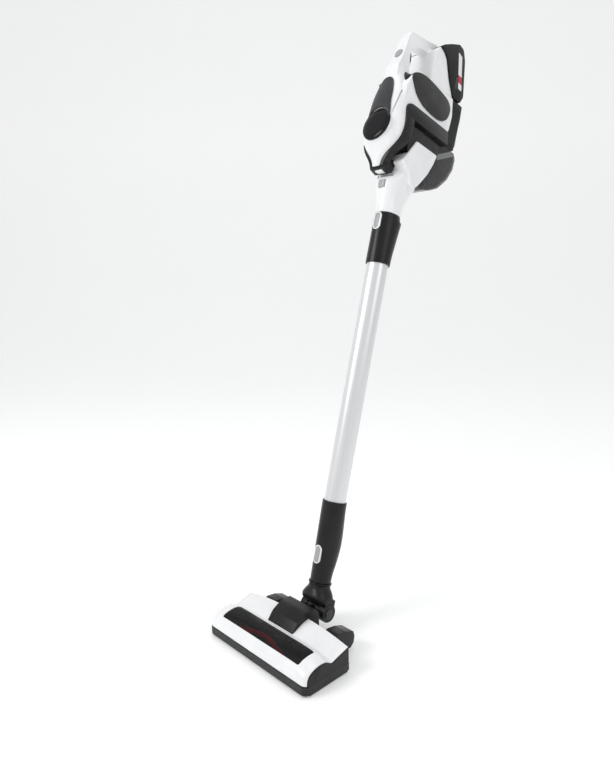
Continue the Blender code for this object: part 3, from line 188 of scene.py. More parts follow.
def stick_axes(place):
    """Across, front to back and up the leaning stick."""
    x, y, z = place.parts()
    return (x, (y - FOOT_Y) * math.cos(LEAN) - z * math.sin(LEAN),
            (y - FOOT_Y) * math.sin(LEAN) + z * math.cos(LEAN))


# %% [markdown]
# ## Materials
#
# Moulded gloss plastic isn't flat: it has a faint orange peel, a slight unevenness of gloss where
# it was handled, and two close tones. Satin parts carry a fine spark-eroded grain. The tube is
# anodised and shows drawing marks along its length, so its noise is stretched along the stick. An
# image could carry all this, but noise on Object coordinates needs no unwrapping.

# %% Materials


def moulded(color, shade, rough, spread, grain, depth, coat, name, extra=None):
    """Injection-moulded plastic: two close tones, uneven gloss and a fine surface grain."""
    def paint(place):
        cloud = place.noise(26.0, 4.0)
        smear = place.noise(9.0, 2.0)
        return {
            "Base Color": cloud.step(0.35, 0.65).mix(rgb(*color), rgb(*shade)),
            "Roughness": rough + (smear - 0.5) * spread,
            "Bump": (place.noise(grain, 2.0), depth, 0.0002),
        }
    numbers = {"Coat Weight": coat, "Coat Roughness": 0.06, "IOR": 1.5}
    numbers.update(extra or {})
    return skin(name, paint, numbers)


WHITE = moulded((0.84, 0.845, 0.85), (0.80, 0.805, 0.81), 0.24, 0.10, 700.0, 0.05,
                0.35, "white_gloss")
GREY = moulded((0.36, 0.365, 0.37), (0.33, 0.335, 0.34), 0.38, 0.10, 2600.0, 0.20,
               0.0, "grey_satin")
BLACK = moulded((0.007, 0.007, 0.008), (0.011, 0.011, 0.012), 0.33, 0.14, 2600.0, 0.18,
                0.0, "black_satin", {"Specular IOR Level": 0.28})
DARK = moulded((0.034, 0.035, 0.037), (0.042, 0.043, 0.045), 0.34, 0.10, 2600.0, 0.16,
               0.0, "dark_satin", {"Specular IOR Level": 0.30})
PIANO = moulded((0.004, 0.004, 0.005), (0.006, 0.006, 0.007), 0.08, 0.04, 500.0, 0.02,
                0.05, "piano_black", {"Specular IOR Level": 0.20})
SMOKED = moulded((0.012, 0.012, 0.013), (0.020, 0.020, 0.022), 0.10, 0.06, 60.0, 0.01,
                 0.2, "smoked_clear", {"Alpha": 0.60, "Specular IOR Level": 0.40})
LEAF_GLOSS = moulded((0.004, 0.004, 0.005), (0.018, 0.018, 0.019), 0.20, 0.10, 500.0, 0.02,
                     0.15, "leaf_gloss", {"Specular IOR Level": 0.45})
PANE = moulded((0.006, 0.006, 0.007), (0.009, 0.009, 0.010), 0.10, 0.05, 40.0, 0.01,
               0.1, "smoked_pane", {"Alpha": 0.45, "Specular IOR Level": 0.30})
STEEL = moulded((0.50, 0.50, 0.52), (0.42, 0.42, 0.44), 0.30, 0.12, 1400.0, 0.10,
                0.0, "steel", {"Metallic": 1.0})


def paint_tube(place):
    x, t, s = stick_axes(place)
    stretched = place.node("ShaderNodeCombineXYZ", {0: x * 60.0, 1: t * 60.0, 2: s * 0.5})
    lines = stretched.noise(12.0, 4.0, 0.7)
    return {
        "Base Color": lines.step(0.3, 0.7).mix(rgb(0.70, 0.71, 0.72), rgb(0.77, 0.78, 0.79)),
        "Roughness": 0.27 + lines * 0.10,
        "Bump": (lines, 0.05, 0.0001),
    }


def paint_rubber(place):
    fine = place.noise(900.0, 3.0)
    return {
        "Base Color": fine.mix(rgb(0.010, 0.010, 0.010), rgb(0.028, 0.028, 0.028)),
        "Roughness": 0.70 + fine * 0.2,
        "Bump": (fine, 0.4, 0.0003),
    }


def paint_felt(place):
    fibre = place.noise(2400.0, 5.0, 0.8)
    return {
        "Base Color": fibre.mix(rgb(0.020, 0.020, 0.022), rgb(0.085, 0.085, 0.090)),
        "Roughness": 0.85 + fibre * 0.12,
        "Bump": (fibre, 0.9, 0.0006),
    }


def bristle_paint(dark, light):
    def paint(place):
        strand = place.noise(700.0, 2.0)
        return {
            "Base Color": strand.step(0.3, 0.7).mix(rgb(*dark), rgb(*light)),
            "Roughness": 0.45 + strand * 0.2,
            "Bump": (strand, 0.3, 0.0002),
        }
    return paint


def paint_label(place):
    """A plain white stripe with a plain red block and no lettering."""
    t, h = stick_axes(place)[1:]
    block = h.step(1.0685, 1.0690) * (1.0 - h.step(1.0820, 1.0825))
    paper = place.noise(1500.0, 3.0)
    white = paper.mix(rgb(0.72, 0.72, 0.72), rgb(0.80, 0.80, 0.80))
    return {
        "Base Color": block.mix(white, rgb(0.45, 0.03, 0.04)),
        "Roughness": 0.38 + paper * 0.12,
        "Bump": (paper, 0.1, 0.0001),
    }


TUBE = skin("silver_tube", paint_tube, {"Metallic": 0.55, "Coat Weight": 0.15})
RUBBER = skin("black_rubber", paint_rubber)
FELT = skin("felt", paint_felt)
RED = skin("red_bristle", bristle_paint((0.80, 0.02, 0.03), (0.95, 0.08, 0.07)))
DARK_BRISTLE = skin("dark_bristle",
                    bristle_paint((0.006, 0.006, 0.007), (0.014, 0.014, 0.015)))
LABEL = skin("white_label", paint_label)
print("materials", len(bpy.data.materials))

# %% [markdown]
# ## Mesh tools
#
# Most mouldings are one of three shapes: a side view with a width (a prism), a stack of level
# sections (a loft), or a turned profile. They could be drawn by hand and subdivided, but made from
# tables they keep the CAD's sizes, and the helpers add fine rows between the table's own.
# `melt` fuses overlapping solids into one skin and lets the joint between them flow, which is what
# a mould's blends do; cuts made after it stay crisp.

# %% Mesh tools


def from_bmesh(name, shape):
    bmesh.ops.recalc_face_normals(shape, faces=shape.faces)
    mesh = bpy.data.meshes.new(name)
    shape.to_mesh(mesh)
    shape.free()
    made = bpy.data.objects.new(name, mesh)
    bpy.context.scene.collection.objects.link(made)
    return made


def loft(name, rings):
    shape = bmesh.new()
    loops = [[shape.verts.new(point) for point in ring] for ring in rings]
    count = len(loops[0])
    for lower, upper in zip(loops, loops[1:]):
        for index in range(count):
            after = (index + 1) % count
            shape.faces.new((lower[index], lower[after], upper[after], upper[index]))
    ends = [shape.faces.new(loops[0]), shape.faces.new(loops[-1])]
    bmesh.ops.triangulate(shape, faces=ends)
    return from_bmesh(name, shape)


def prism(name, outline, half, middle=0.0):
    return loft(name, [[(middle + x, a, b) for a, b in outline] for x in (-half, half)])


def box(name, low, high):
    (x0, y0, z0), (x1, y1, z1) = low, high
    return loft(name, [[(x0, y0, z), (x1, y0, z), (x1, y1, z), (x0, y1, z)] for z in (z0, z1)])


def cylinder(name, start, end, radius, sides=64):
    start, end = Vector(start), Vector(end)
    turn = (end - start).to_track_quat("Z", "Y").to_matrix()
    spokes = [turn @ Vector((radius * math.cos(a), radius * math.sin(a), 0))
              for a in (2 * math.pi * k / sides for k in range(sides))]
    return loft(name, [[here + spoke for spoke in spokes] for here in (start, end)])


def turned(name, profile, place=Matrix.Identity(4), sides=96, closed=True):
    """A loop of (radius, height) turned about Z. An open one ends on the axis at both ends."""
    shape = bmesh.new()
    rows = []
    for radius, height in profile:
        if radius < 1e-7:
            rows.append([shape.verts.new(place @ Vector((0, 0, height)))] * sides)
            continue
        rows.append([shape.verts.new(place @ Vector((
            radius * math.cos(2 * math.pi * k / sides), radius * math.sin(2 * math.pi * k / sides),
            height))) for k in range(sides)])
    pairs = list(zip(rows, rows[1:])) + ([(rows[-1], rows[0])] if closed else [])
    for near, far in pairs:
        for k in range(sides):
            corners = [near[k], near[(k + 1) % sides], far[(k + 1) % sides], far[k]]
            corners = [v for i, v in enumerate(corners) if v not in corners[:i]]
            if len(corners) > 2:
                shape.faces.new(corners)
    return from_bmesh(name, shape)


def bake(obj):
    """Makes the object's modifiers part of its mesh."""
    graph = bpy.context.evaluated_depsgraph_get()
    mesh = bpy.data.meshes.new_from_object(obj.evaluated_get(graph))
    obj.modifiers.clear()
    old, obj.data = obj.data, mesh
    bpy.data.meshes.remove(old)
    mesh.name = obj.name
    return obj


def bevel(obj, width, segments=3, degrees=32):
    edge = obj.modifiers.new("edges", "BEVEL")
    edge.width, edge.segments, edge.limit_method = width, segments, "ANGLE"
    edge.angle_limit = math.radians(degrees)
    edge.use_clamp_overlap = True
    return bake(obj)


def combine(obj, others, operation, solver="EXACT"):
    for other in others:
        step = obj.modifiers.new("solid", "BOOLEAN")
        step.operation, step.object, step.solver = operation, other, solver
        bake(obj)
        bpy.data.objects.remove(other, do_unlink=True)
    return obj


def cut(obj, *others, solver="EXACT"):
    return combine(obj, others, "DIFFERENCE", solver)


def join(obj, *others, solver="EXACT"):
    return combine(obj, others, "UNION", solver)


def melt(obj, others, voxel, rounds):
    """Fuses overlapping solids and softens the joints between them."""
    shape = bmesh.new()
    for part in [obj, *others]:
        shape.from_mesh(part.data)
    shape.to_mesh(obj.data)
    shape.free()
    for part in others:
        bpy.data.objects.remove(part, do_unlink=True)
    step = obj.modifiers.new("skin", "REMESH")
    step.mode, step.voxel_size, step.adaptivity = "VOXEL", voxel, 0.0
    flow = obj.modifiers.new("flow", "SMOOTH")
    flow.factor, flow.iterations = 0.5, rounds
    return bake(obj)


def settle(obj, place, body, material, slot, *nodes, degrees=34):
    """Puts the finished mesh in the common frame, on its body, for the CAD nodes it stands for."""
    obj.data.transform(place)
    obj.data.shade_smooth()
    obj.data.set_sharp_from_angle(angle=math.radians(degrees))
    obj.data.materials.clear()
    obj.data.materials.append(material)
    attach(obj, body)
    if nodes:
        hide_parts(*nodes)
    print(obj.name, len(obj.data.polygons), "faces")
    return obj


def rounded(corners, steps=8):
    """(across, up, radius) corners into an outline with an arc at each corner."""
    points = []
    for index, (across, high, radius) in enumerate(corners):
        here = Vector((across, high))
        before = Vector(corners[index - 1][:2]) - here
        ahead = Vector(corners[(index + 1) % len(corners)][:2]) - here
        if radius <= 0:
            points.append((across, high))
            continue
        reach = min(radius / math.tan(before.angle(ahead) / 2),
                    0.49 * before.length, 0.49 * ahead.length)
        first, last = here + before.normalized() * reach, here + ahead.normalized() * reach
        for step in range(steps + 1):
            share = step / steps
            point = first.lerp(here, share).lerp(here.lerp(last, share), share)
            points.append((point.x, point.y))
    return points


def spline(before, start, end, after, t):
    """The point at share t of the smooth curve from start to end."""
    return 0.5 * (2 * start + (end - before) * t
                  + (2 * before - 5 * start + 4 * end - after) * t ** 2
                  + (3 * start - before - 3 * end + after) * t ** 3)


def flowing(points, steps=6):
    """A closed outline through the points."""
    made, count = [], len(points)
    for index in range(count):
        four = [Vector(points[(index + k) % count]) for k in (-1, 0, 1, 2)]
        made += [tuple(spline(*four, step / steps)) for step in range(steps)]
    return made


def sections(table, steps=5):
    """The rows of a table with smooth rows added between them."""
    rows = [Vector(row) for row in table]
    rows = [rows[0] * 2 - rows[1]] + rows + [rows[-1] * 2 - rows[-2]]
    made = []
    for index in range(1, len(rows) - 2):
        made += [tuple(spline(*rows[index - 1:index + 3], step / steps)) for step in range(steps)]
    return made + [tuple(table[-1])]


def ring(half, front, behind, height, power=2.0, count=72):
    """A level section: an ellipse at power 2, squarer above it."""
    middle, depth = (front + behind) / 2, (behind - front) / 2
    points = []
    for index in range(count):
        angle = 2 * math.pi * index / count
        across, along = math.cos(angle), math.sin(angle)
        points.append((
            half * math.copysign(abs(across) ** (2 / power), across),
            middle + depth * math.copysign(abs(along) ** (2 / power), along),
            height,
        ))
    return points


def between(table, height):
    """The table's values at this height, straight between its rows."""
    rows = sorted(table)
    if height <= rows[0][0]:
        return rows[0][1:]
    for low, high in zip(rows, rows[1:]):
        if height <= high[0]:
            share = (height - low[0]) / (high[0] - low[0])
            return tuple(a + (b - a) * share for a, b in zip(low[1:], high[1:]))
    return rows[-1][1:]


# %% [markdown]
# ## Hand unit: the white shell
#
# The real shell is two mouldings that meet in one flowing surface: a bulging front barrel, a body
# behind it, and a loop that springs from the barrel's top. It could be a subdivision cage, but the
# blends between a lofted barrel and a flat-sided body would take many hand-set vertices. Fusing
# the simple solids into one skin gives those blends by itself. The disc's pocket, the trigger slot,
# the side slits and the room inside for the motor are cut afterwards, so their edges stay sharp.

# %% White shell
BARREL = (
    (0.0725, 0.0120, -0.0555), (0.0800, 0.0140, -0.0575), (0.0880, 0.0185, -0.0600),
    (0.0960, 0.0250, -0.0625), (0.1050, 0.0320, -0.0660), (0.1150, 0.0385, -0.0695),
    (0.1250, 0.0420, -0.0715), (0.1450, 0.0430, -0.0715), (0.1650, 0.0420, -0.0700),
    (0.1850, 0.0390, -0.0690), (0.2050, 0.0345, -0.0660), (0.2250, 0.0265, -0.0620),
    (0.2400, 0.0205, -0.0590), (0.2590, 0.0165, -0.0570),
)
BARREL_MIDDLE, BARREL_BACK, BARREL_POWER = -0.0360, -0.0100, 2.4
TRIM_FRONT = (
    (-0.0510, 0.0735), (-0.0530, 0.0850), (-0.0530, 0.0950), (-0.0510, 0.1050),
    (-0.0480, 0.1170), (-0.0450, 0.1300), (-0.0430, 0.1450), (-0.0440, 0.1650),
    (-0.0430, 0.1800), (-0.0350, 0.1880), (-0.0220, 0.1906),
)
FINE_BARREL = sections(BARREL)


def barrel_ring(height, half, front, count=96):
    points = []
    for index in range(count):
        angle = 2 * math.pi * index / count
        across, along = math.cos(angle), math.sin(angle)
        depth = (BARREL_BACK if along > 0 else front) - BARREL_MIDDLE
        points.append((half * math.copysign(abs(across) ** (2 / BARREL_POWER), across),
                       BARREL_MIDDLE + depth * abs(along) ** (2 / BARREL_POWER), height))
    return points


def barrel_front(x, height):
    """How far forward the barrel's surface is, at x across and this height."""
    half, front = between(FINE_BARREL, height)
    share = min(abs(x) / half, 1.0)
    bulge = (1 - share ** BARREL_POWER) ** (1 / BARREL_POWER)
    return BARREL_MIDDLE + (front - BARREL_MIDDLE) * bulge


DISC_POCKET = 0.0306            # radius of the disc's seat
DISC_CENTRE = Vector((0, -0.0680, 0.1420))
DISC_FACING = Vector((0, -math.cos(math.radians(7)), math.sin(math.radians(7))))
MODE_CENTRE = Vector((0, -0.0457, 0.2870))
MODE_FACING = Vector((0, -math.cos(math.radians(14.6)), math.sin(math.radians(14.6))))
LOOP = (
    (-0.0560, 0.2400, 0), (-0.0570, 0.2600, 0.01), (-0.0480, 0.2780, 0.02), (-0.0420, 0.3010, 0.03),
    (-0.0365, 0.3230, 0.012), (-0.0310, 0.3350, 0.008), (0.0150, 0.3430, 0.03),
    (0.0480, 0.3520, 0.003), (0.0500, 0.3350, 0), (0.0400, 0.3220, 0), (0.0050, 0.3190, 0.020),
    (-0.0240, 0.3050, 0.010), (-0.0300, 0.2930, 0.010), (-0.0305, 0.2810, 0.01),
    (-0.0240, 0.2560, 0.006), (-0.0240, 0.2400, 0),
)
BAND = (
    (0.0180, 0.2450, 0), (0.0170, 0.2800, 0.02), (0.0180, 0.2960, 0.02), (0.0200, 0.3200, 0.006),
    (0.0280, 0.3310, 0.002), (0.0430, 0.3262, 0.004), (0.0530, 0.3180, 0.006),
    (0.0610, 0.3020, 0.006), (0.0690, 0.2870, 0.006), (0.0820, 0.2700, 0.004),
    (0.0900, 0.2588, 0), (0.0880, 0.2450, 0),
)
BODY = (
    (-0.0520, 0.1700, 0), (0.0840, 0.1700, 0), (0.0930, 0.2000, 0.008), (0.0955, 0.2250, 0.004),
    (0.0890, 0.2585, 0.001), (-0.0165, 0.2585, 0.004), (-0.0330, 0.2480, 0.012),
    (-0.0480, 0.2200, 0.012),
)


def latch_prism(name, grow):
    corners = (
        (-0.0525 - grow, 0.0825 + grow, 0.001), (-0.0475 - grow, 0.0700 - grow, 0.002),
        (-0.0320, 0.0660 - grow, 0.002), (-0.0245 + grow, 0.0690 - grow, 0.003),
        (-0.0210 + grow, 0.0790, 0.002), (-0.0210 + grow, 0.0935 + grow, 0.001),
    )
    return prism(name, rounded(corners, 5), 0.0165 + grow)


def side_slits():
    """A thin curved cut at each side of the barrel, where its two mouldings meet."""
    line = sections(((-0.0535, 0.2060), (-0.0575, 0.1950), (-0.0620, 0.1780), (-0.0665, 0.1560)), 6)
    outline = [(t, h) for t, h in line] + [(t + 0.0026, h + 0.0006) for t, h in reversed(line)]
    return [prism("slit", outline, 0.0115, side * 0.0370) for side in (-1, 1)]


def white_shell():
    voxel = 0.0014
    barrel = loft("hand_shell", [barrel_ring(*row) for row in FINE_BARREL])
    body = bevel(prism("body", rounded(BODY), 0.0370), 0.0050)
    spine = bevel(prism("spine", rounded(LOOP), 0.0150), 0.0062, 4)
    for vertex in spine.data.vertices:      # the loop narrows towards its top
        share = min(max((vertex.co.z - 0.2950) / 0.0400, 0.0), 1.0)
        vertex.co.x *= 1.0 - 0.35 * share * share * (3 - 2 * share)
    band = bevel(prism("band", rounded(BAND), 0.0340), 0.0040, 3, 50)
    seat = cylinder("seat", DISC_CENTRE - DISC_FACING * 0.020, DISC_CENTRE, 0.0295)
    shell = melt(barrel, [body, spine, band, seat], voxel, 5)
    pocket = cylinder("pocket", DISC_CENTRE, DISC_CENTRE + DISC_FACING * 0.02, DISC_POCKET)
    outline = [(t - GAP, h + GAP) for t, h in sections(TRIM_FRONT, 3)]
    outline[0] = (outline[0][0], 0.04)
    room = prism("room", outline + [(0.15, 0.1909), (0.15, 0.04)], 0.08)
    slot = box("slot", (-0.0065, -0.0365, 0.2755), (0.0065, 0.0, 0.3005))
    well = cylinder("well", MODE_CENTRE - MODE_FACING * 0.0032,
                    MODE_CENTRE + MODE_FACING * 0.02, 0.0085)
    bay = bevel(box("motor_bay", (-0.0325, -0.0420, 0.1700), (0.0325, 0.0800, 0.2525)), 0.0080)
    return cut(shell, room, pocket, latch_prism("latch_room", GAP), slot, well, bay,
               *side_slits(), solver="MANIFOLD")


settle(white_shell(), HAND_FRAME, "hand_unit", WHITE, "white_gloss_plastic",
       "main_housing", "handle_loop")

# %% [markdown]
# ## Hand unit: panel, disc, leaf panels, trim
#
# The dark panel is a thin moulding that follows the barrel. It could be shrink-wrapped onto it, but
# the barrel is a table, so the panel's rows are read from that. The disc is a turned cap, slightly
# domed, with a fine groove near its soft edge.

# %% Panel, disc and side panels
PANEL_SIDES = (
    (0.1500, 0.0265), (0.1650, 0.0250), (0.1810, 0.0225), (0.2020, 0.0205), (0.2180, 0.0170),
    (0.2260, 0.0140), (0.2310, 0.0100), (0.2335, 0.0040),
)


def front_panel():
    proud, thick = 0.0022, 0.0030
    low, high = PANEL_SIDES[0][0], PANEL_SIDES[-1][0]
    shape = bmesh.new()
    rows = []
    for step in range(61):
        height = low + (high - low) * step / 60
        half = between(PANEL_SIDES, height)[0]
        across = [half * k / 12 for k in range(-12, 13)]
        rows.append([shape.verts.new((x, barrel_front(x, height) - proud, height)) for x in across])
    for near, far in zip(rows, rows[1:]):
        for k in range(24):
            shape.faces.new((near[k], near[k + 1], far[k + 1], far[k]))
    panel = from_bmesh("front_panel_skin", shape)
    wall = panel.modifiers.new("wall", "SOLIDIFY")
    wall.thickness, wall.offset = thick, -1.0
    bake(panel)
    reach = DISC_FACING * 0.03
    hole = cylinder("hole", DISC_CENTRE - reach, DISC_CENTRE + reach, DISC_POCKET)
    return bevel(cut(panel, hole), 0.0004, 2, 50)


settle(front_panel(), HAND_FRAME, "hand_unit", DARK, "dark_grey_plastic", "front_panel")



def facing_frame(centre, facing):
    """A frame at the centre whose +Z points where the piece faces."""
    return Matrix.Translation(centre) @ facing.to_track_quat("Z", "Y").to_matrix().to_4x4()


DISC_PLACE = facing_frame(DISC_CENTRE + DISC_FACING * GAP, DISC_FACING)
DISC = (
    (0.0, 0.0046), (0.0120, 0.0045), (0.0180, 0.0044), (0.0262, 0.0041), (0.0268, 0.0038),
    (0.0274, 0.0041), (0.0284, 0.0038), (0.0293, 0.0030), (0.0299, 0.0018), (0.0300, 0.0),
    (0.0, 0.0),
)
settle(turned("disc", DISC, DISC_PLACE, 128, closed=False), HAND_FRAME, "hand_unit", PIANO,
       "piano_black_plastic", "motor_cover_disc", degrees=50)

SIDE_PANEL = (
    (-0.0400, 0.2410), (-0.0220, 0.2515), (0.0040, 0.2550), (0.0450, 0.2510),
    (0.0700, 0.2460), (0.0815, 0.2360), (0.0820, 0.2240), (0.0760, 0.2110), (0.0620, 0.2015),
    (0.0400, 0.1985), (0.0050, 0.2020), (-0.0190, 0.2125), (-0.0335, 0.2280),
)
for side, name in ((-1, "left"), (1, "right")):
    leaf = prism("leaf_panel_" + name, flowing(SIDE_PANEL), 0.0011, side * 0.0384)
    settle(bevel(leaf, 0.0007, 3, 50), HAND_FRAME, "hand_unit", LEAF_GLOSS,
           "piano_black_plastic", "side_panel_" + name)


def chassis_trim():
    behind = [(0.0856, 0.1906), (0.0856, 0.1630), (-0.0210, 0.1630), (-0.0210, 0.1280),
              (-0.0350, 0.1010), (-0.0375, 0.0850), (-0.0345, 0.0722)]
    trim = prism("collar_trim", sections(TRIM_FRONT, 3) + behind, 0.0500)
    rings = []
    for height in [0.0650] + [row[0] for row in FINE_BARREL if row[0] < 0.19] + [0.1950]:
        half = min(between(FINE_BARREL, height)[0] + 0.0030, 0.0455)
        rings.append([(-half, -0.09, height), (half, -0.09, height), (half, 0.12, height),
                      (-half, 0.12, height)])
    combine(trim, [loft("envelope", rings)], "INTERSECT")
    cut(trim, box("intake", (-0.0300, -0.0120, 0.15), (0.0300, 0.0750, 0.20)),
        latch_prism("latch_room", GAP))
    return bevel(trim, 0.0012, 2, 40)


settle(chassis_trim(), HAND_FRAME, "hand_unit", BLACK, "black_satin_plastic", "chassis_trim")

# %% [markdown]
# ## Hand unit: small controls
#
# Trigger, latch, its white button and the grey tab are small mouldings with soft edges, so a prism
# or a block with a bevel is enough. The round button is turned.

# %% Controls
TRIGGER = (
    (-0.0320, 0.2760, 0), (-0.0170, 0.2770, 0.002), (-0.0155, 0.2880, 0.006),
    (-0.0180, 0.3000, 0.002), (-0.0320, 0.3000, 0),
)
settle(bevel(prism("trigger_blade", rounded(TRIGGER), 0.0060), 0.0016), HAND_FRAME, "trigger",
       DARK, "grey_plastic", "trigger")

MODE_PLACE = facing_frame(MODE_CENTRE, MODE_FACING)
MODE = (
    (0.0, 0.0012), (0.0050, 0.0013), (0.0066, 0.0015), (0.0074, 0.0014), (0.0080, 0.0008),
    (0.0080, -0.0020), (0.0, -0.0020),
)
settle(turned("round_button", MODE, MODE_PLACE, 96, closed=False), HAND_FRAME, "mode_button",
       GREY, "grey_plastic", "mode_button")

latch = cut(bevel(latch_prism("latch", 0.0), 0.0015),
            box("latch_pocket", (-0.0085, -0.0440, 0.0500), (0.0085, -0.0320, 0.0735)))
settle(latch, HAND_FRAME, "hand_unit", BLACK, "black_satin_plastic", "container_latch")
settle(bevel(box("latch_button", (-0.0080, -0.0435, 0.0665), (0.0080, -0.0325, 0.0705)), 0.0009),
       HAND_FRAME, "container_button", WHITE, "white_gloss_plastic", "container_button")
TAB = (
    (-0.0240, 0.0570, 0.001), (-0.0302, 0.0570, 0.001), (-0.0296, 0.0430, 0.003),
    (-0.0240, 0.0430, 0.001),
)
settle(bevel(prism("grey_tab", rounded(TAB), 0.0066), 0.0016), HAND_FRAME, "dust_unit",
       GREY, "grey_plastic", "nozzle_tab")

# %% [markdown]
# ## Exhaust vent: repeated ridges
#
# The vent behind the body is one block with fine ridges. Each ridge is the same small bar, so a
# Geometry Nodes tree places the copies along a line, with the count and spacing as named inputs.

# %% Repeating tree


def set_inputs(modifier, tree, **values):
    for item in tree.interface.items_tree:
        if item.item_type == "SOCKET" and item.in_out == "INPUT" and item.name in values:
            modifier[item.identifier] = values[item.name]


def new_tree(name, sockets):
    tree = bpy.data.node_groups.new(name, "GeometryNodeTree")
    tree.interface.new_socket("Geometry", in_out="OUTPUT", socket_type="NodeSocketGeometry")
    tree.interface.new_socket("Geometry", in_out="INPUT", socket_type="NodeSocketGeometry")
    for label, kind in sockets:
        tree.interface.new_socket(label, in_out="INPUT", socket_type="NodeSocket" + kind)
    start, end = tree.nodes.new("NodeGroupInput"), tree.nodes.new("NodeGroupOutput")

    def add(kind, inputs=(), **settings):
        made = tree.nodes.new(kind)
        for key, value in settings.items():
            setattr(made, key, value)
        for key, value in dict(inputs).items():
            if isinstance(value, bpy.types.NodeSocket):
                tree.links.new(value, made.inputs[key])
            else:
                made.inputs[key].default_value = value
        return made
    return tree, add, start, end


def row_tree():
    """Copies of a piece along a line, realised and given one material."""
    tree, add, start, end = new_tree("row_of_copies", (
        ("Piece", "Object"), ("Count", "Int"), ("First", "Vector"), ("Step", "Vector"),
        ("Finish", "Material"),
    ))
    line = add("GeometryNodeMeshLine", {
        "Count": start.outputs["Count"], "Start Location": start.outputs["First"],
        "Offset": start.outputs["Step"],
    })
    piece = add("GeometryNodeObjectInfo", {"Object": start.outputs["Piece"]})
    copies = add("GeometryNodeInstanceOnPoints", {
        "Points": line.outputs[0], "Instance": piece.outputs["Geometry"],
    })
    real = add("GeometryNodeRealizeInstances", {"Geometry": copies.outputs[0]})
    done = add("GeometryNodeSetMaterial", {
        "Geometry": real.outputs[0], "Material": start.outputs["Finish"],
    })
    tree.links.new(done.outputs[0], end.inputs[0])
    return tree


ROW = row_tree()


def row(name, piece, count, first, step, material):
    piece.hide_render = True
    holder = bpy.data.objects.new(name, bpy.data.meshes.new(name))
    bpy.context.scene.collection.objects.link(holder)
    nodes = holder.modifiers.new("copies", "NODES")
    nodes.node_group = ROW
    set_inputs(nodes, ROW, Piece=piece, Count=count, First=first, Step=step, Finish=material)
    bpy.context.view_layer.update()
    bake(holder)
    bpy.data.objects.remove(piece, do_unlink=True)
    return holder


VENT = (
    (0.0894, 0.2589, 0), (0.0959, 0.2250, 0), (0.0934, 0.2000, 0), (0.0868, 0.1830, 0),
    (0.0868, 0.1630, 0), (0.1105, 0.1630, 0.004), (0.1190, 0.1690, 0.003), (0.1240, 0.2340, 0.003),
    (0.1232, 0.2589, 0.001),
)
settle(bevel(prism("vent_block", rounded(VENT), 0.0350), 0.0030), HAND_FRAME, "hand_unit",
       BLACK, "black_satin_plastic", "exhaust_vent")
RIDGE = ((0.0900, 0.0, 0), (0.1215, 0.0, 0.002), (0.1215, 0.0014, 0.002), (0.0900, 0.0014, 0))
ridge = bevel(prism("ridge", rounded(RIDGE, 4), 0.0358), 0.0005, 2, 50)
settle(row("vent_ridges", ridge, 22, (0, 0, 0.1780), (0, 0, 0.0034), DARK), HAND_FRAME,
       "hand_unit", DARK, "dark_grey_plastic")

# %% [markdown]
# ## Dust container, filter and nozzle
#
# The container is a clear smoked moulding, so the pleated filter shows through its top. The nozzle
# is a funnel that spreads into two cheeks, which hold the container from both sides. Funnel and
# cheeks are fused, so the cheek's lower edge runs smoothly into the funnel as it does when moulded.

# %% Dust unit


def bin_corners(grow):
    top = 0.1626
    return (
        (-0.0203 - grow, top + grow, 0), (0.1190 + grow, top + grow, 0.003),
        (0.1262 + grow, 0.1530, 0.010), (0.1240 + grow, 0.1310 - grow, 0.018),
        (0.1110 + grow, 0.1060 - grow, 0.030), (0.0870 + grow, 0.0800 - grow, 0.030),
        (0.0640, 0.0670 - grow, 0.020), (0.0420, 0.0600 - grow, 0.010),
        (0.0150 - grow, 0.0640 - grow, 0.008), (-0.0160 - grow, 0.1050 - grow, 0.010),
        (-0.0203 - grow, 0.1180 - grow, 0.008),
    )


BIN_HALF, BIN_WALL, ABOVE_BIN = 0.0380, 0.0020, 0.1730
container = bevel(prism("container", rounded(bin_corners(0.0)), BIN_HALF), 0.0070, 4)
hollow_outline = [list(corner) for corner in bin_corners(-BIN_WALL)]
hollow_outline[0][1] = hollow_outline[1][1] = ABOVE_BIN
hollow = bevel(prism("hollow", rounded(hollow_outline), BIN_HALF - BIN_WALL), 0.0055, 3)
cut(container, hollow, cylinder("inlet", (0, 0.010, 0.050), (0, 0.010, 0.092), 0.0120))
settle(container, HAND_FRAME, "dust_unit", SMOKED, "smoked_clear_plastic", "dust_container")

PLEAT = [ring(half, front, behind, height, 3.0, 96) for half, front, behind, height in (
    (0.0305, -0.0095, 0.0935, 0.0), (0.0330, -0.0120, 0.0960, 0.0006),
    (0.0330, -0.0120, 0.0960, 0.0014), (0.0305, -0.0095, 0.0935, 0.0020))]
settle(row("filter_pleats", loft("pleat", PLEAT), 21, (0, 0, 0.1180), (0, 0, 0.00205), GREY),
       HAND_FRAME, "dust_unit", GREY, "dark_grey_plastic", "filter_cartridge")

NOZZLE = (
    (0.0000, 0.0222, -0.0220, 0.0292), (0.0130, 0.0224, -0.0230, 0.0300),
    (0.0270, 0.0232, -0.0245, 0.0325), (0.0460, 0.0270, -0.0270, 0.0390),
    (0.0580, 0.0310, -0.0270, 0.0460), (0.0700, 0.0350, -0.0240, 0.0520),
    (0.0820, 0.0375, -0.0180, 0.0560), (0.0950, 0.0390, -0.0120, 0.0570),
)
LEAF = (
    (-0.0290, 0.0870, 0.004), (0.0010, 0.1350, 0.003), (0.0660, 0.1350, 0.003),
    (0.0590, 0.1140, 0.03), (0.0470, 0.0900, 0.02), (0.0260, 0.0610, 0.02), (0.0140, 0.0500, 0.006),
    (0.0040, 0.0560, 0.01), (-0.0060, 0.0720, 0.01),
)


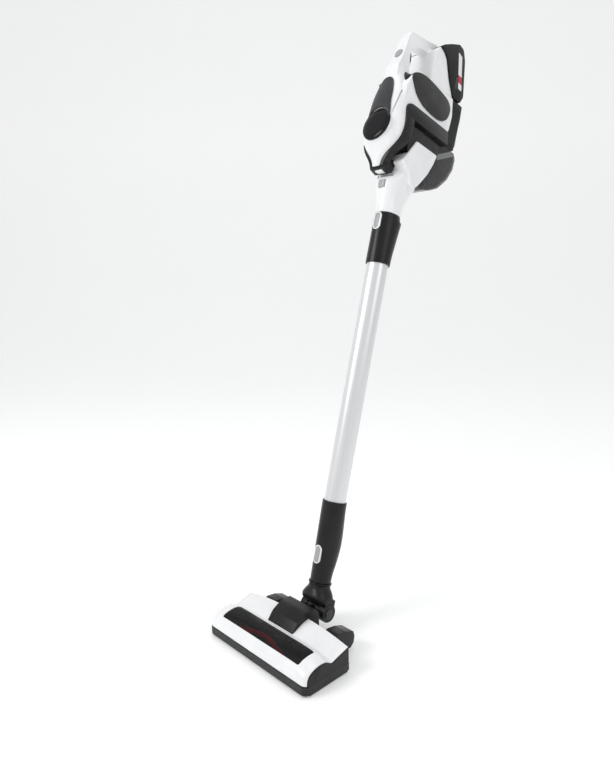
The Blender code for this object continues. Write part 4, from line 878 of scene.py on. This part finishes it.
def nozzle():
    voxel = 0.0012
    funnel = loft("nozzle", [ring(half, front, behind, height, 2.0 + 8 * height)
                             for height, half, front, behind in sections(NOZZLE)])
    cheeks = bevel(prism("cheeks", rounded(LEAF), 0.0418), 0.0040)
    duct = melt(funnel, [cheeks], voxel, 16)
    latch_way = box("latch_way", (-0.0185, -0.0800, 0.0635), (0.0185, -0.0195, 0.2))
    room = bevel(prism("bin_room", rounded(bin_corners(0.0004)), BIN_HALF + GAP), 0.0070, 4)
    return cut(
        duct, room, latch_way, cylinder("duct", (0, 0, -0.01), (0, 0, 0.052), 0.0150),
        cylinder("duct_upper", (0, 0.004, 0.045), (0, 0.012, 0.095), 0.0130),
        cylinder("socket", (0, 0, -0.01), (0, 0, 0.0123), 0.0178), solver="MANIFOLD",
    )


settle(nozzle(), HAND_FRAME, "dust_unit", WHITE, "white_gloss_plastic", "nozzle_duct")

# %% [markdown]
# ## Battery
#
# A slide-on pack with a plain stripe on its side. One side view and a width give its shape. A
# single facet along its edges would catch the light as a flat band, so the bevel has three steps.

# %% Battery
BATTERY = (
    (0.0290, 0.3320, 0.001), (0.0350, 0.3375, 0.02), (0.0560, 0.3500, 0.02),
    (0.0800, 0.3620, 0.008), (0.0950, 0.3600, 0.010), (0.1050, 0.3420, 0.03),
    (0.1190, 0.2760, 0.010), (0.1110, 0.2608, 0.004), (0.0904, 0.2608, 0), (0.0824, 0.2704, 0),
    (0.0694, 0.2874, 0), (0.0614, 0.3024, 0), (0.0534, 0.3184, 0), (0.0434, 0.3266, 0),
)
case = bevel(prism("battery_pack", rounded(BATTERY, 6), 0.0370), 0.0030, 3, 50)
cut(case, box("release_pocket", (0.0335, 0.0847, 0.2780), (0.0470, 0.0923, 0.3020)),
    box("bar_way", (-0.0155, 0.0, 0.30), (0.0155, 0.0505, 0.40)))
settle(case, HAND_FRAME, "battery", BLACK, "black_satin_plastic", "battery_case")
STRIPE = (
    (0.0800, 0.3470, 0.0015), (0.0925, 0.3435, 0.0015), (0.1085, 0.2830, 0.0015),
    (0.0970, 0.2830, 0.0015),
)
settle(prism("battery_stripe", rounded(STRIPE), 0.0003, 0.0376), HAND_FRAME, "battery",
       LABEL, "white_label", "battery_label")
settle(bevel(box("battery_catch", (0.0358, 0.0852, 0.2785), (0.0378, 0.0918, 0.3015)), 0.0006),
       HAND_FRAME, "battery_release", DARK, "grey_plastic", "battery_release")

# %% [markdown]
# ## Wand, connector and neck
#
# The tube is drawn metal. The connector above it and the neck below it are lofts through the
# sections of the CAD model, with smooth sections added between, and open sockets that the tube
# really slides into. Oval buttons sit in pockets with a white rim.

# %% Stick pieces


def oval(grow):
    """A button's outline, two half circles joined by straight sides."""
    radius, straight = 0.0055 + grow, 0.0085
    return [(radius * math.cos(a), middle + radius * math.sin(a))
            for middle, first in ((straight, 0), (-straight, math.pi))
            for a in (first + math.pi * k / 16 for k in range(17))]


def oval_prism(name, height, behind, front, grow):
    return loft(name, [[(x, y, height + z) for x, z in oval(grow)] for y in (front, behind)])


def stick_loft(name, table, lift=0.0):
    return loft(name, [ring(half, front, behind, lift + height)
                       for height, half, front, behind in sections(table)])


NECK = (
    (0.0933, 0.0190, -0.0190, 0.0190), (0.1100, 0.0195, -0.0195, 0.0205),
    (0.1300, 0.0205, -0.0205, 0.0250), (0.1550, 0.0215, -0.0212, 0.0288),
    (0.1780, 0.0220, -0.0216, 0.0285), (0.2050, 0.0222, -0.0220, 0.0255),
    (0.2250, 0.0223, -0.0222, 0.0232), (0.2400, 0.0224, -0.0224, 0.0226),
)
CONNECTOR = (
    (0.0000, 0.0224, -0.0222, 0.0226), (0.0020, 0.0228, -0.0226, 0.0230),
    (0.0200, 0.0229, -0.0226, 0.0245), (0.0450, 0.0232, -0.0226, 0.0285),
    (0.0700, 0.0236, -0.0226, 0.0325), (0.0830, 0.0238, -0.0226, 0.0345),
    (0.0850, 0.0230, -0.0224, 0.0315), (0.0934, 0.0222, -0.0220, 0.0290),
)
TUBE_OUTSIDE, TUBE_INSIDE, TUBE_FOOT, TUBE_TOP = 0.0200, 0.0185, 0.2000, 0.7270
LOWER_BUTTON, UPPER_BUTTON = 0.1430, 0.7580
POCKET_GROW = 0.0027            # from a button's outline to its pocket's
TUBE_PROFILE = (
    (TUBE_INSIDE, TUBE_TOP), (TUBE_OUTSIDE, TUBE_TOP), (TUBE_OUTSIDE, TUBE_FOOT),
    (TUBE_INSIDE, TUBE_FOOT),
)
settle(turned("tube", TUBE_PROFILE, sides=128), STICK_FRAME, "wand", TUBE,
       "silver_tube", "wand_tube")

neck = cut(bevel(stick_loft("neck", NECK), 0.0006, 2, 60),
           cylinder("bore", (0, 0, 0.08), (0, 0, 0.201), 0.0145),
           cylinder("socket", (0, 0, 0.1994), (0, 0, 0.25), TUBE_OUTSIDE + 0.0005, 96),
           oval_prism("pocket", LOWER_BUTTON, -0.0165, -0.03, POCKET_GROW))
settle(neck, STICK_FRAME, "neck", BLACK, "black_satin_plastic", "neck_body")
connector = cut(bevel(stick_loft("connector", CONNECTOR, 0.6810), 0.0006, 2, 60),
                cylinder("tube_way", (0, 0, 0.67), (0, 0, 0.7280), TUBE_OUTSIDE + GAP, 96),
                cylinder("pipe_way", (0, 0, TUBE_TOP), (0, 0, 0.785), 0.0180, 96),
                oval_prism("pocket", UPPER_BUTTON, -0.0190, -0.03, POCKET_GROW))
settle(connector, STICK_FRAME, "wand", BLACK, "black_satin_plastic", "upper_connector")

for where, height, face, body in (("lower", LOWER_BUTTON, -0.0205, "neck"),
                                  ("upper", UPPER_BUTTON, -0.0225, "wand")):
    rim = oval_prism(where + "_rim", height, face + 0.0030, face - 0.0010, 0.0024)
    cut(bevel(rim, 0.0005, 2, 50), oval_prism("hole", height, face + 0.01, face - 0.01, GAP))
    settle(rim, STICK_FRAME, body, WHITE, "white_gloss_plastic", where + "_button_rim")
    button = oval_prism(where + "_button", height, face + 0.0009, face - 0.0016, 0.0)
    settle(bevel(button, 0.0006, 2, 50), STICK_FRAME, where + "_release_button", GREY,
           "grey_plastic", where + "_release_button")

COLLAR = (
    (0.0150, 0.0930), (0.0204, 0.0930), (0.0210, 0.0927), (0.0212, 0.0920), (0.0212, 0.0902),
    (0.0210, 0.0896), (0.0204, 0.0893), (0.0150, 0.0893),
)
settle(turned("collar_ring", COLLAR, sides=128), STICK_FRAME, "neck", PIANO,
       "piano_black_plastic", "swivel_collar", degrees=50)

# %% [markdown]
# ## Yoke and its pivot discs
#
# The yoke is a thick forked moulding in black plastic: a round socket for the collar that spreads
# into two cheeks round the pitch pin. Fusing the socket, cheeks and bosses rounds it like the
# real moulding; the pin stays a crisp cylinder.

# %% Yoke
PIN_HEIGHT, PIN_BEHIND = 0.0400, 0.0170     # above the floor, and behind the stick's foot
PIN_UP = PIN_HEIGHT * math.cos(LEAN) + PIN_BEHIND * math.sin(LEAN)
PIN_BACK = PIN_BEHIND * math.cos(LEAN) - PIN_HEIGHT * math.sin(LEAN)
BOSS_RADIUS, CHEEK_INSIDE = 0.0160, 0.0160


def yoke():
    lower = PIN_UP + 0.0170
    table = (
        (lower, 0.0292, -0.0200, 0.0210), (lower + 0.008, 0.0285, -0.0232, 0.0220),
        (0.0760, 0.0245, -0.0215, 0.0215), (0.0830, 0.0195, -0.0195, 0.0195),
        (0.0890, 0.0190, -0.0190, 0.0190),
    )
    body = loft("fork", [ring(half, front, behind, height, 2.9 - 10 * (height - lower) / 0.4)
                         for height, half, front, behind in sections(table)])
    pieces = []
    for side in (-1, 1):
        low, high = sorted((side * CHEEK_INSIDE, side * 0.0300))
        pieces.append(cylinder("boss", (low, PIN_BACK, PIN_UP), (high, PIN_BACK, PIN_UP),
                               BOSS_RADIUS, 96))
        low, high = sorted((side * CHEEK_INSIDE, side * 0.0288))
        pieces.append(box("arm", (low, PIN_BACK - 0.0125, PIN_UP),
                          (high, PIN_BACK + 0.0125, lower + 0.006)))
    fork = melt(body, pieces, 0.0009, 4)
    pin = cylinder("pin", (-0.0200, PIN_BACK, PIN_UP), (0.0200, PIN_BACK, PIN_UP), 0.0050)
    return join(fork, pin, solver="MANIFOLD")


settle(yoke(), STICK_FRAME, "neck", BLACK, "black_satin_plastic", "yoke")
PITCH_FRAME = STICK_FRAME @ Matrix.Translation((0, PIN_BACK, PIN_UP))
PIVOT_DISC = (
    (0.0, 0.0316), (0.0060, 0.0317), (0.0074, 0.0313), (0.0080, 0.0317), (0.0090, 0.0316),
    (0.0095, 0.0311), (0.0095, 0.0303), (0.0, 0.0303),
)
for side, name in ((-1, "left"), (1, "right")):
    turn = Matrix.Rotation(side * math.pi / 2, 4, "Y")
    settle(turned("pivot_disc_" + name, PIVOT_DISC, turn, 96, closed=False), PITCH_FRAME, "neck",
           DARK, "dark_grey_plastic", "pivot_cap_" + name, degrees=50)

# %% [markdown]
# ## Floor head
#
# The cover is one thin moulding over the roller and its motor. It could be modelled as a cage, but
# its height follows a front to back line that drops towards the ends, so the surface is sampled
# from that rule on a fine grid and then given its wall thickness. The window is cut out and its
# pane follows the same rule.

# %% Cover and window
HALF_WIDTH, HALF_DEPTH, CAP, BASE_TOP, CORNER = 0.1265, 0.0485, 0.0012, 0.0192, 0.0100
COVER = (
    (-0.0482, 0.0172, 0.0172), (-0.0474, 0.0270, 0.0260), (-0.0445, 0.0345, 0.0320),
    (-0.0380, 0.0410, 0.0370), (-0.0280, 0.0468, 0.0400), (-0.0170, 0.0498, 0.0412),
    (-0.0060, 0.0508, 0.0400), (0.0000, 0.0490, 0.0370), (0.0040, 0.0435, 0.0345),
    (0.0090, 0.0415, 0.0335), (0.0150, 0.0430, 0.0348), (0.0250, 0.0475, 0.0375),
    (0.0360, 0.0520, 0.0400), (0.0482, 0.0545, 0.0430),
)
FINE_COVER = sections(COVER, 4)


def corner_back(x):
    """How far the head's front is set back at x, round its corners."""
    past = (abs(x) - (HALF_WIDTH - CORNER)) / CORNER
    return CORNER * (1 - math.sqrt(1 - min(max(past, 0.0), 1.0) ** 2))


def cover_point(x, row):
    """The cover's surface: nearly level across in front, and falling to its ends behind."""
    y, middle, end = row
    level, falling = 8.0, 2.4
    power = level + (falling - level) * min(max((y + 0.004) / 0.016, 0.0), 1.0)
    height = middle + (end - middle) * min(abs(x) / HALF_WIDTH, 1.0) ** power
    return (x, y + corner_back(x) * (HALF_DEPTH - y) / (2 * HALF_DEPTH), height)


def cover_skin(name, half, rows, wall):
    shape = bmesh.new()
    shares = [k / 24 * 0.9 for k in range(25)] + [0.92, 0.94, 0.96, 0.975, 0.985, 0.993, 1.0]
    stations = [-half * s for s in shares[:0:-1]] + [half * s for s in shares]
    grid = [[shape.verts.new(cover_point(x, row)) for row in rows] for x in stations]
    for near, far in zip(grid, grid[1:]):
        for k in range(len(rows) - 1):
            shape.faces.new((near[k], far[k], far[k + 1], near[k + 1]))
    made = bpy.data.meshes.new(name)
    shape.normal_update()
    shape.to_mesh(made)
    shape.free()
    obj = bpy.data.objects.new(name, made)
    bpy.context.scene.collection.objects.link(obj)
    solid = obj.modifiers.new("wall", "SOLIDIFY")
    solid.thickness, solid.offset, solid.use_even_offset = wall, -1.0, True
    return bake(obj)


def window_outline(grow):
    return rounded((
        (-0.1000 - grow, -0.0375 - grow, 0.004), (0.1000 + grow, -0.0375 - grow, 0.004),
        (0.1030 + grow, -0.0050 + grow, 0.004), (-0.0940 - grow, -0.0050 + grow, 0.010),
    ))


def dome_outline(grow):
    return rounded((
        (0.0085 - grow, 0.0260 - grow, 0.002), (0.0095 - grow, 0.0400, 0.016),
        (0.0225 - grow, 0.0560 + grow, 0.016), (0.0430, 0.0670 + grow, 0.020),
        (0.0640 + grow, 0.0665 + grow, 0.006), (0.0740 + grow, 0.0560, 0.004),
        (0.0740 + grow, 0.0260 - grow, 0.002),
    ))


def tall(name, outline):
    return loft(name, [[(x, y, z) for x, y in outline] for z in (0.030, 0.07)])


DOME_HALF = 0.0320
cover = cover_skin("cover", HALF_WIDTH - CAP - GAP, FINE_COVER, 0.0025)
cut(cover, tall("window_hole", window_outline(GAP)),
    prism("dome_notch", dome_outline(GAP), DOME_HALF + GAP),
    box("below", (-0.3, -0.1, 0.0), (0.3, 0.1, BASE_TOP + GAP)))
settle(cover, HEAD_FRAME, "head", WHITE, "white_gloss_plastic", "head_cover")
pane_rows = [line for line in FINE_COVER if -0.0412 < line[0] < -0.0025]
pane = combine(cover_skin("pane", 0.1120, pane_rows, 0.0020),
               [tall("pane_shape", window_outline(0.0))], "INTERSECT")
settle(pane, HEAD_FRAME, "head", PANE, "smoked_clear_plastic", "window")

# %% [markdown]
# ## Floor head: dome, caps, brackets
#
# The dome hides the roll joint. It is a side view with strongly rounded edges. The brackets behind
# the head carry the rear wheels.

# %% Dome, end caps and brackets
dome = cut(bevel(prism("dome", dome_outline(0.0), DOME_HALF), 0.0075, 5),
           cylinder("roll_bore", (0, 0.0300, 0.04), (0, 0.0800, 0.04), 0.0110))
settle(dome, HEAD_FRAME, "head", BLACK, "black_satin_plastic", "dome_cover")


def cap_ring(x, inset):
    share = corner_back(x) / (2 * HALF_DEPTH)
    points = [(y + share * (HALF_DEPTH - y), end - (inset if y > -0.047 else 0.0))
              for y, _, end in FINE_COVER]
    points[0] = (points[0][0] + inset, BASE_TOP)
    front = -HALF_DEPTH + corner_back(x) + inset
    behind, under = HALF_DEPTH - inset, 0.0016 + inset
    points += [(behind, 0.0390), (behind, 0.0060), (HALF_DEPTH - 0.004, under),
               (front + 0.004, under), (front, 0.0056)]
    return [(x, y, z) for y, z in points]


BRACKET = (
    (0.0488, 0.0140, 0.001), (0.0488, 0.0420, 0.001), (0.0600, 0.0455, 0.006),
    (0.0780, 0.0430, 0.008), (0.0970, 0.0360, 0.005), (0.1000, 0.0260, 0.005),
    (0.0975, 0.0150, 0.005), (0.0900, 0.0085, 0.004), (0.0640, 0.0085, 0.004),
)
WHEEL = (
    (0.0025, 0.0065), (0.0105, 0.0065), (0.0122, 0.0060), (0.0129, 0.0050), (0.0130, 0.0035),
    (0.0130, 0.0012), (0.0127, 0.0008), (0.0127, -0.0008), (0.0130, -0.0012), (0.0130, -0.0035),
    (0.0129, -0.0050), (0.0122, -0.0060), (0.0105, -0.0065), (0.0025, -0.0065),
)
WHEEL_OUT, WHEEL_BACK, WHEEL_UP = 0.0790, 0.08, 0.013
WELL_HALF, AXLE_HALF = 0.0075, 0.011
for side, name in ((-1, "left"), (1, "right")):
    rings = [cap_ring(side * x, inset) for x, inset in
             ((0.1253, 0.0), (0.1258, 0.0), (0.1262, 0.00015), (0.1265, 0.0004))]
    settle(loft("cap_" + name, rings), HEAD_FRAME, "head", BLACK,
           "black_satin_plastic", "end_cap_" + name)
    middle = side * WHEEL_OUT
    well = [(middle + x, WHEEL_BACK, WHEEL_UP) for x in (-WELL_HALF, WELL_HALF)]
    axle = [(middle + x, WHEEL_BACK, WHEEL_UP) for x in (-AXLE_HALF, AXLE_HALF)]
    arm = bevel(prism("bracket_" + name, rounded(BRACKET, 6), 0.0130, middle), 0.0028, 3)
    cut(arm, cylinder("well", *well, 0.0145),
        box("mouth", (middle - WELL_HALF, 0.0660, -0.01), (middle + WELL_HALF, 0.0940, WHEEL_UP)))
    join(arm, cylinder("axle", *axle, 0.0020, 32))
    settle(arm, HEAD_FRAME, "head", BLACK, "black_satin_plastic", "wheel_bracket_" + name)
    place = Matrix.Translation((middle, WHEEL_BACK, WHEEL_UP))
    place = place @ Matrix.Rotation(math.pi / 2, 4, "Y")
    settle(turned("wheel_" + name, WHEEL, place), HEAD_FRAME, "wheel_" + name, RUBBER,
           "black_rubber", "rear_wheel_" + name, degrees=50)

# %% [markdown]
# ## Floor head: the bumper's ribs
#
# The black base and its end caps carry fine level ribs. Each is the base's outline seen from above
# as a thin hoop, so the same row tree stacks the copies.

# %% Bumper ribs


def bumper_hoop():
    proud, thick = 0.0003, 0.0014
    half = HALF_WIDTH + proud
    front = [(half - CORNER * (1 - math.cos(a)), -HALF_DEPTH - proud + CORNER * (1 - math.sin(a)))
             for a in (math.pi / 2 * k / 10 for k in range(11))]
    outline = front + [(-x, y) for x, y in front[::-1]] + [(-half, 0.0488), (half, 0.0488)]
    hoop = loft("hoop", [[(x, y, z) for x, y in outline] for z in (0.0, thick)])
    hoop = bevel(hoop, 0.0004, 2, 60)
    inner = [(0.1248, -0.0368), (0.1148, -0.0468), (-0.1148, -0.0468), (-0.1248, -0.0368),
             (-0.1248, 0.0460), (0.1248, 0.0460)]
    return cut(hoop, loft("inside", [[(x, y, z) for x, y in inner] for z in (-0.01, 0.01)]))


settle(row("bumper_ribs", bumper_hoop(), 4, (0, 0, 0.0048), (0, 0, 0.0032), DARK), HEAD_FRAME,
       "head", DARK, "dark_grey_plastic")

# %% [markdown]
# ## Brush: real bristles
#
# Each strip on the roller winds to the middle as a chevron of tufts: five close rows for the red
# one, a single row for each dark one. A solid fin with a rough finish could stand for it, but
# separate fibres give the soft outline. A second tree resamples the strip's guide lines, stands a
# tuft of tapered fibres on each point along the stored outward direction, and tilts it a little at
# random from a fixed seed.

# %% Bristles


def bristle_tree():
    """Tufts along a strip's guide lines, each tilted by up to Wobble radians."""
    tree, add, start, end = new_tree("tufts_on_a_line", (
        ("Tuft", "Object"), ("Count", "Int"), ("Wobble", "Float"), ("Seed", "Int"),
        ("Finish", "Material"),
    ))
    wobble = start.outputs["Wobble"]
    curve = add("GeometryNodeMeshToCurve", {0: start.outputs["Geometry"]})
    line = add("GeometryNodeResampleCurve", {
        "Curve": curve.outputs[0], "Count": start.outputs["Count"],
    })
    outward = add("GeometryNodeInputNamedAttribute", {"Name": "outward"}, data_type="FLOAT_VECTOR")
    aim = add("FunctionNodeAlignRotationToVector", {"Vector": outward.outputs[0]}, axis="Z")
    low = add("ShaderNodeMath", {0: wobble, 1: -1.0}, operation="MULTIPLY")
    lower = add("ShaderNodeCombineXYZ", {0: low.outputs[0], 1: low.outputs[0], 2: -3.0})
    upper = add("ShaderNodeCombineXYZ", {0: wobble, 1: wobble, 2: 3.0})
    tilt = add("FunctionNodeRandomValue", {0: lower.outputs[0], 1: upper.outputs[0],
                                           "Seed": start.outputs["Seed"]}, data_type="FLOAT_VECTOR")
    turn = add("FunctionNodeEulerToRotation", {0: tilt.outputs[0]})
    both = add("FunctionNodeRotateRotation", {0: aim.outputs[0], 1: turn.outputs[0]},
               rotation_space="LOCAL")
    piece = add("GeometryNodeObjectInfo", {"Object": start.outputs["Tuft"]})
    copies = add("GeometryNodeInstanceOnPoints", {
        "Points": line.outputs[0], "Instance": piece.outputs["Geometry"],
        "Rotation": both.outputs[0],
    })
    real = add("GeometryNodeRealizeInstances", {"Geometry": copies.outputs[0]})
    done = add("GeometryNodeSetMaterial", {
        "Geometry": real.outputs[0], "Material": start.outputs["Finish"],
    })
    tree.links.new(done.outputs[0], end.inputs[0])
    return tree


TUFTS = bristle_tree()


def tuft():
    """Five thin fibres that leave one hole of the core."""
    shape = bmesh.new()
    for lean_x, lean_y in ((0, 0), (0.10, 0.05), (-0.10, 0.04), (0.05, -0.11), (-0.06, -0.10)):
        rings = []
        for up_by, radius in ((0.0, 0.00026), (0.0030, 0.00024), (0.0058, 0.00016)):
            middle = Vector((lean_x * up_by, lean_y * up_by, up_by))
            spokes = [Vector((radius * math.cos(a), radius * math.sin(a), 0))
                      for a in (2 * math.pi * k / 5 for k in range(5))]
            rings.append([shape.verts.new(middle + spoke) for spoke in spokes])
        for low, high in zip(rings, rings[1:]):
            for k in range(5):
                shape.faces.new((low[k], low[(k + 1) % 5], high[(k + 1) % 5], high[k]))
        shape.faces.new(rings[0][::-1])
        shape.faces.new(rings[-1])
    return from_bmesh("tuft", shape)


STRIP_HALF, CORE_HALF, CORE_RADIUS = 0.1103, 0.1123, 0.0130
WIND = math.radians(100)        # how far a strip winds from the core's middle to its end
ROW_APART = math.radians(5.0)


def bristle_strip(index, start, material, rows):
    points, outward, edges = [], [], []
    for row_index in range(rows):
        offset = ROW_APART * (row_index - (rows - 1) / 2)
        for step in range(121):
            x = -STRIP_HALF + 2 * STRIP_HALF * step / 120
            turn = start + offset + WIND * abs(x) / CORE_HALF
            out = Vector((0.0, math.cos(turn), math.sin(turn)))
            if step:
                edges.append((len(points) - 1, len(points)))
            points.append(Vector((x, 0, 0)) + out * CORE_RADIUS)
            outward.append(out)
    mesh = bpy.data.meshes.new("bristles_%d" % index)
    mesh.from_pydata(points, edges, [])
    field = mesh.attributes.new("outward", "FLOAT_VECTOR", "POINT")
    field.data.foreach_set("vector", [v for out in outward for v in out])
    strip = bpy.data.objects.new(mesh.name, mesh)
    bpy.context.scene.collection.objects.link(strip)
    piece = tuft()
    piece.hide_render = True
    nodes = strip.modifiers.new("tufts", "NODES")
    nodes.node_group = TUFTS
    set_inputs(nodes, TUFTS, Tuft=piece, Count=220, Wobble=0.10, Seed=7 + index, Finish=material)
    bpy.context.view_layer.update()
    bake(strip)
    bpy.data.objects.remove(piece, do_unlink=True)
    slot = "red_bristle" if index == 1 else "dark_grey_plastic"
    return settle(strip, BRUSH_FRAME, "brush", material, slot, "bristle_strip_%d" % index)


for index, material in enumerate((RED, DARK_BRISTLE, DARK_BRISTLE), 1):
    bristle_strip(index, math.radians(75 + 120 * (index - 1)), material, 5 if index == 1 else 1)

# %% [markdown]
# ## Carried-over CAD pieces
#
# Pieces that are mostly hidden, or whose CAD shape needs nothing finer, keep their own mesh. They
# could be softened with a Bevel modifier, but little of them is seen, so each only gets one of the
# worked materials.

# %% CAD pieces
KEPT = {
    "head_base": BLACK, "sole_strip": FELT, "brush_core": DARK, "brush_motor": STEEL,
    "motor_pulley": STEEL, "drive_belt": RUBBER, "knuckle": BLACK, "inlet_pipe": WHITE,
    "cyclone_screen": STEEL, "motor_can": STEEL, "impeller": GREY,
}
for name, node in NODES.items():
    if node.hide_render:
        continue
    node.data.materials.clear()
    node.data.materials.append(KEPT[name])
    for face in node.data.polygons:
        face.material_index = 0
print("kept from CAD:", sorted(name for name, node in NODES.items() if not node.hide_render))

# %% [markdown]
# ## Stage
#
# A pale floor that curves up behind the object, a broad key light from the camera's left, a weaker
# one from the right and one from above, and a bright even surround that gives the gloss parts
# something to reflect.

# %% Floor and lights


def paint_floor(place):
    cloud = place.noise(1.5, 3.0)
    return {
        "Base Color": cloud.mix(rgb(0.86, 0.86, 0.86), rgb(0.88, 0.88, 0.88)),
        "Roughness": 0.6 + cloud * 0.1,
    }


def floor():
    profile = [(-6.0, 0.0)] + [(3.0 + 2.0 * math.sin(a), 2.0 - 2.0 * math.cos(a))
                               for a in (math.pi / 2 * k / 16 for k in range(17))] + [(5.0, 6.0)]
    shape = bmesh.new()
    rows = [[shape.verts.new((x, y, z)) for y, z in profile] for x in (-8.0, 8.0)]
    for k in range(len(profile) - 1):
        shape.faces.new((rows[0][k], rows[1][k], rows[1][k + 1], rows[0][k + 1]))
    made = from_bmesh("floor", shape)
    made.data.transform(Matrix.Rotation(HEADING, 4, "Z"))
    made.data.shade_smooth()
    made.data.materials.append(skin("floor_paper", paint_floor, {
        "Emission Color": rgb(1.0, 1.0, 1.0), "Emission Strength": 0.20}))


def lamp(name, place, target, size, power):
    light = bpy.data.lights.new(name, "AREA")
    light.shape, light.size, light.energy = "DISK", size, power
    made = bpy.data.objects.new(name, light)
    bpy.context.scene.collection.objects.link(made)
    made.location = place
    made.rotation_euler = (Vector(target) - Vector(place)).to_track_quat("-Z", "Y").to_euler()


floor()
STICK_MIDDLE = (0, 0.2, 0.5)
lamp("key", (-0.9, -1.9, 1.9), STICK_MIDDLE, 1.1, 27)
lamp("fill", (2.2, 0.2, 1.6), STICK_MIDDLE, 1.4, 7)
lamp("top", (0.0, 0.4, 2.8), STICK_MIDDLE, 1.6, 9)
world = bpy.data.worlds.new("studio")
world.use_nodes = True
surround = world.node_tree.nodes["Background"]
surround.inputs["Color"].default_value = rgb(0.95, 0.96, 0.97)
surround.inputs["Strength"].default_value = 0.70
bpy.context.scene.world = world
bpy.context.scene.view_settings.view_transform = "Standard"
